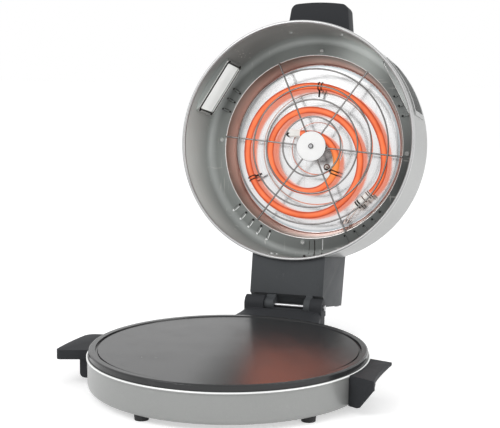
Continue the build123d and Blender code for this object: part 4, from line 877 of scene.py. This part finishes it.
def tubeAlong(shape, points, radius, closed):
    # a round wire laid along points given on the lid
    points = [onLid(*point) for point in points]
    count = len(points)
    rings = []
    side = None
    for i, point in enumerate(points):
        before = points[i - 1] if closed or i else point
        after = points[(i + 1) % count] if closed or i + 1 < count else point
        along = (after - before).normalized()
        side = side or along.orthogonal()
        side = (side - along * side.dot(along)).normalized()
        other = along.cross(side)
        turns = [2 * math.pi * k / wireSides for k in range(wireSides)]
        rings.append([shape.verts.new(point + (side * math.cos(turn) + other * math.sin(turn)) * radius * mm)
            for turn in turns])
    for i in range(count if closed else count - 1):
        first, second = rings[i], rings[(i + 1) % count]
        for k in range(wireSides):
            shape.faces.new((first[k - 1], first[k], second[k], second[k - 1]))
    if not closed:
        shape.faces.new(rings[0])
        shape.faces.new(rings[-1][::-1])
    bmesh.ops.recalc_face_normals(shape, faces=shape.faces)


def circlePoints(centre, axis, radius, count):
    axis = Vector(axis).normalized()
    side = axis.orthogonal().normalized()
    other = axis.cross(side)
    turns = [2 * math.pi * i / count for i in range(count)]
    return [tuple(Vector(centre) + (side * math.cos(turn) + other * math.sin(turn)) * radius) for turn in turns]


def wirePiece(name, node, finish, runs, replaced=()):
    # runs are (points, radius, closed)
    shape = bmesh.new()
    for points, radius, closed in runs:
        tubeAlong(shape, points, radius, closed)
    return newPiece(name, shape, node, [materials[finish]], replaced)


upward = (0, 0, 1)
wideSteps = 240  # points round the large rings
smallSteps = 32
mouth = {"radius": 163.3, "height": 113.2, "bead": 0.85}
wirePiece("mouthBead", "lid_liner", "bright_bead",
    [(circlePoints((0, 0, mouth["height"]), upward, mouth["radius"], wideSteps), mouth["bead"], True)])


def plainRing(radius, height):
    # a level ring on the base, given in the lid's places as onLid wants them
    turns = [2 * math.pi * i / wideSteps for i in range(wideSteps)]
    return [lidPlace.inverted() @ (Vector((radius * math.cos(turn), radius * math.sin(turn), height)) * mm) / mm
        for turn in turns]


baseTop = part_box("base_ring")[1].z / mm
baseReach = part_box("base_ring")[1].x / mm
lip = {"inset": 1.5, "down": 1.3, "bead": 1.5}
# painted highlight: a pale glowing line along the base ring's rolled lip
wirePiece("baseLipHighlight", "base_ring", "lip_shine",
    [(plainRing(baseReach - lip["inset"], baseTop - lip["down"]), lip["bead"], True)])

hub = {
    "radius": 26.2,
    "height": 105.6,
    "edge": 0.7,
    "steps": 96,
    "screwRing": 3.7,
    "screwHeight": 102.9,
    "screwEdge": 0.95,
}
# painted shade: dark outlines round the hub disc's rim and round its centre screw
wirePiece("hubOutlineShade", "hub_disc", "burnt_wire", [
    (circlePoints((0, 0, hub["height"]), upward, hub["radius"], hub["steps"]), hub["edge"], True),
    (circlePoints((0, 0, hub["screwHeight"]), upward, hub["screwRing"], smallSteps), hub["screwEdge"], True),
])

tie = {
    "coilCentres": ((-10.3, 27.0), (-10.3, 5.4)),
    "firstRadius": 51.5,
    "pitch": 21.6,
    "places": ((0, 18.8), (3, 152.4), (4, -84.2)),
    "height": 131.0,
    "loop": 6.9,
    "spread": 2.9,
    "wire": 1.1,
    "floor": 146.6,
    "loopSteps": 28,
    "tail": 12.0,
    "tailWire": 0.8,
    "tailSteps": 18,
    "tailHalfTurns": 5,
    "tailDrop": 3,
    "tailRise": 4,
    "twist": 1.1,
}


def tieRuns():
    runs = []
    for halfTurn, angle in tie["places"]:
        middle = tie["coilCentres"][halfTurn % 2]
        reach = tie["firstRadius"] + tie["pitch"] * halfTurn
        turn = math.radians(angle)
        outward = Vector((math.cos(turn), math.sin(turn), 0))
        along = Vector((-outward.y, outward.x, 0))
        spot = Vector((*middle, tie["height"])) + outward * reach
        for side in (-1, 1):
            centre = spot + along * tie["spread"] * side
            runs.append((circlePoints(centre, along, tie["loop"], tie["loopSteps"]), tie["wire"], True))
            foot = centre + Vector((0, 0, tie["loop"]))
            runs.append(([tuple(foot), (foot.x, foot.y, tie["floor"])], tie["wire"], False))
        for phase in (0, math.pi):
            tail = []
            for i in range(tie["tailSteps"] + 1):
                share = i / tie["tailSteps"]
                spin = share * tie["tailHalfTurns"] * math.pi + phase
                place = spot - outward * (tie["loop"] + tie["tail"] * share) + along * tie["twist"] * math.cos(spin)
                level = tie["height"] - tie["tailDrop"] + tie["tailRise"] * share
                tail.append((place.x, place.y, level + tie["twist"] * math.sin(spin)))
            runs.append((tail, tie["wire"] * tie["tailWire"], False))
    return runs


wirePiece("heaterTies", "heater_clips", "burnt_wire", tieRuns(), ["heater_clips"])

ceramic = {
    "start": Vector((107.1, 76.5, 131.0)),
    "along": Vector((-0.7071, 0.7071, 0)),
    "length": 38.0,
    "wrapRadius": 6.9,
    "wraps": (27.0, 31.5),
    "wire": 1.5,
    "brownWraps": (2.0, 6.0, 16.0),
    "brownWire": 1.0,
    "bracket": (59.0, 132.0, 139.0),
    # the two leads: wire, first points from the end as steps along and aside, points on the way
    "leads": (
        (1.3, ((-1, (0, 0, 0)), (5, (0, 0, 0))), ((66.0, 121.0, 134.0),)),
        (1.0, ((0, (3, 3, 2)),), ((74.0, 118.0, 136.0), (64.0, 131.0, 139.0))),
    ),
    "shortLead": ((-47.0, -24.5, 131.0), (-52.0, -24.5, 131.0), (-55.0, -21.5, 136.0), (-55.0, -20.5, 146.5)),
}


def wrapRuns(distances, wire):
    along = ceramic["along"]
    centres = [ceramic["start"] + along * distance for distance in distances]
    return [(circlePoints(centre, along, ceramic["wrapRadius"], smallSteps), wire, True) for centre in centres]


def leadRuns():
    end = ceramic["start"] + ceramic["along"] * ceramic["length"]
    runs = []
    for wire, steps, points in ceramic["leads"]:
        first = [tuple(end + ceramic["along"] * step + Vector(aside)) for step, aside in steps]
        runs.append(([*first, *points, ceramic["bracket"]], wire, False))
    return runs


wirePiece("ceramicWraps", "heater_ends", "burnt_wire",
    wrapRuns(ceramic["wraps"], ceramic["wire"]) + [(ceramic["shortLead"], ceramic["wire"], False)])
wirePiece("ceramicCollars", "heater_ends", "brown_glaze", wrapRuns(ceramic["brownWraps"], ceramic["brownWire"]))
wirePiece("heaterLead", "heater_ends", "bright_bead", leadRuns())

eyelet = {
    "centre": (20.0, 33.0, 145.6),
    "radius": 4.6,
    "ring": 1.1,
    "wire": 0.9,
    "lead": ((20.0, 33.0, 148.0), (22.0, 34.0, 141.0), (28.0, 37.0, 138.0), (31.0, 40.0, 137.0)),
}
wirePiece("eyeletRing", "lead_grommet", "brown_glaze", [
    (circlePoints(eyelet["centre"], upward, eyelet["radius"], smallSteps), eyelet["ring"], True),
    (eyelet["lead"], eyelet["wire"], False),
])

window = {
    "angle": 60.0,
    "seat": 188.5,
    "half": 46.0,
    "low": 34.0,
    "high": 96.0,
    "round": 2.0,
    "cornerSteps": 4,
    # how far out each line lies, its wire and how proud it stands
    "bright": (0.5, 0.55, 0.0),
    "border": (7.0, 0.55, 0.3),
    "dark": (1.9, 1.0, 0.9),
    "studOut": 3.6,
    "studIn": 2.5,
    "studWire": 2.1,
    "studEnds": (-0.5, 1.6),
}


def windowPoint(side, across, height, proud):
    turn = math.radians(-90 + side * window["angle"])
    reach = window["seat"] - proud
    cos, sin = math.cos(turn), math.sin(turn)
    return (reach * cos - across * sin, reach * sin + across * cos, height)


def windowRun(side, out, wire, proud):
    points = []
    radius = window["round"] + out
    corners = ((1, 1, 0), (-1, 1, 90), (-1, -1, 180), (1, -1, 270))
    middle = (window["low"] + window["high"]) / 2
    tall = (window["high"] - window["low"]) / 2
    for across, up, start in corners:
        for step in range(window["cornerSteps"] + 1):
            turn = math.radians(start + 90 / window["cornerSteps"] * step)
            points.append(windowPoint(side, across * (window["half"] - window["round"]) + radius * math.cos(turn),
                middle + up * (tall - window["round"]) + radius * math.sin(turn), proud))
    return points, wire, True


def studRuns(side):
    runs = []
    for across in (-window["half"] - window["studOut"], window["half"] + window["studOut"]):
        for height in (window["low"] + window["studIn"], window["high"] - window["studIn"]):
            ends = [windowPoint(side, across, height, proud) for proud in window["studEnds"]]
            runs.append((ends, window["studWire"], False))
    return runs


for side, label in ((-1, "left"), (1, "right")):
    wirePiece(label + "PaneTrim", "window_frame_" + label, "bright_bead",
        [windowRun(side, *window["bright"]), windowRun(side, *window["border"])])
    wirePiece(label + "PaneClips", "window_frame_" + label, "burnt_wire",
        [windowRun(side, *window["dark"])] + studRuns(side))

shoulder = {
    "mouth": (163.2, 112.8),
    "slope": 0.3094,
    "sheet": 0.84,
    "corner": 14.0,
    "bend": 4.1,
    "middle": (184.6, 103.9),
}


def shoulderPoint(angle, reach, side, proud):
    # a place on the visible face of the liner's shoulder or of the bend beyond it
    reachOff, heightOff = reach - shoulder["middle"][0], shoulder["corner"] - proud
    if reachOff > shoulder["bend"]:
        height = shoulder["middle"][1] + math.sqrt(max(heightOff ** 2 - reachOff ** 2, 1.0))
    else:
        mouthReach, mouthHeight = shoulder["mouth"]
        height = mouthHeight + (reach - mouthReach) * shoulder["slope"] - shoulder["sheet"] - proud
    cos, sin = math.cos(math.radians(angle)), math.sin(math.radians(angle))
    return (reach * cos - side * sin, reach * sin + side * cos, height)


seam = {
    # first and last angle, first and last reach, wire
    "soft": ((84.9, 85.7, 166.0, 193.0, 0.9), (88.0, 88.8, 167.0, 190.0, 0.5)),
    "sharp": ((81.0, 81.8, 184.0, 195.0, 0.7),),
    "light": ((79.6, 81.0, 166.0, 184.0, 0.45),),
    "steps": 8,
    "proud": 0.1,
}
slotMark = {"angle": 90.8, "ends": ((194.6, 0.2), (194.9, -0.4)), "wire": 2.6}


def seamRuns(rows):
    runs = []
    for first, last, low, high, wire in rows:
        shares = [i / seam["steps"] for i in range(seam["steps"] + 1)]
        points = [shoulderPoint(first + (last - first) * share, low + (high - low) * share, 0, seam["proud"])
            for share in shares]
        runs.append((points, wire, False))
    return runs


wirePiece("linerSeam", "lid_liner", "element_steel", seamRuns(seam["soft"]))
slotEnds = [shoulderPoint(slotMark["angle"], reach, 0, proud) for reach, proud in slotMark["ends"]]
wirePiece("linerSlot", "lid_liner", "burnt_wire", seamRuns(seam["sharp"]) + [(slotEnds, slotMark["wire"], False)])
# painted highlight: a pale glowing line along the liner's fold
wirePiece("linerFoldGlint", "lid_liner", "edge_glint", seamRuns(seam["light"]))

louvre = {
    # first angle, step and count of each row
    "rows": ((139.6, -6.4, 5),),
    "dimRows": ((-147.0, -6.4, 3),),
    "side": 2.0,
    "rise": 1.8,
    "line": 0.7,
    "lineReaches": (171.5, 176.0, 182.0),
    "tip": 1.9,
    "tipReaches": (184.0, 186.0),
    "hole": 1.9,
    "holeReach": 168.6,
    "holeRises": (1.2, 1.9),
    "shade": 0.5,
    "shadeRise": 1.2,
}


def louvreParts(rows):
    edges, shadeMarks = [], []
    for first, step, count in rows:
        side = math.copysign(louvre["side"], -first)
        for i in range(count):
            angle = first + step * i
            # the side lines and tip blobs are painted: in edge_glint they are painted highlights, in element_steel
            # painted shade
            edge = [shoulderPoint(angle, reach, side, louvre["rise"]) for reach in louvre["lineReaches"]]
            tip = [shoulderPoint(angle, reach, 0, louvre["rise"]) for reach in louvre["tipReaches"]]
            edges += [(edge, louvre["line"], False), (tip, louvre["tip"], False)]
            # painted shade: a dark spot in each louvre's opening and a dark line along its other side
            hole = [shoulderPoint(angle, louvre["holeReach"], 0, rise) for rise in louvre["holeRises"]]
            shade = [shoulderPoint(angle, reach, -side, louvre["shadeRise"]) for reach in louvre["lineReaches"]]
            shadeMarks += [(hole, louvre["hole"], False), (shade, louvre["shade"], False)]
    return edges, shadeMarks


edges, shadeMarks = louvreParts(louvre["rows"])
dimShadeLines, dimShadeMarks = louvreParts(louvre["dimRows"])
# painted highlights on the lower-left louvres
wirePiece("louvreGlints", "lid_liner", "edge_glint", edges)
# painted shade lines on the upper-left louvres
wirePiece("louvreShadeLines", "lid_liner", "element_steel", dimShadeLines)
# painted shade in the louvres' openings and along their sides
wirePiece("louvreShadeMarks", "lid_liner", "burnt_wire", shadeMarks + dimShadeMarks)

dial = {
    "plate": "dial_plate",
    "count": 11,
    "inner": 0.66,
    "outer": 0.94,
    "line": 0.32,
    "endLine": 0.5,
    "sunk": 0.1,
}


def dialRuns():
    # marks round the control knob, from where its pointer rests to the end of its turn
    knob = [joint for joint in frame["joints"] if joint["name"] == "knob_turn"][0]
    centre, axis = Vector(knob["pos_m"]), Vector(knob["axis"]).normalized()
    outward = axis if axis.dot(centre - Vector(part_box("lid_shell")[0])) > 0 else -axis
    offsets = [vert.co - centre for vert in nodes[dial["plate"]].data.vertices]
    level = max(offset.dot(outward) for offset in offsets) - dial["sunk"] * mm
    reach = max((offset - outward * offset.dot(outward)).length for offset in offsets)
    down = Vector((0, 0, -1))
    down = (down - axis * down.dot(axis)).normalized()
    runs = []
    for i in range(dial["count"]):
        turn = math.radians(knob["range_deg"][1] * i / (dial["count"] - 1))
        way = Matrix.Rotation(turn, 3, axis) @ down
        ends = [centre + outward * level + way * reach * share for share in (dial["inner"], dial["outer"])]
        line = dial["endLine"] if i in (0, dial["count"] - 1) else dial["line"]
        runs.append(([tuple(lidPlace.inverted() @ end / mm) for end in ends], line, False))
    return runs


wirePiece("dialMarks", dial["plate"], "burnt_wire", dialRuns())
print("wire pieces made")
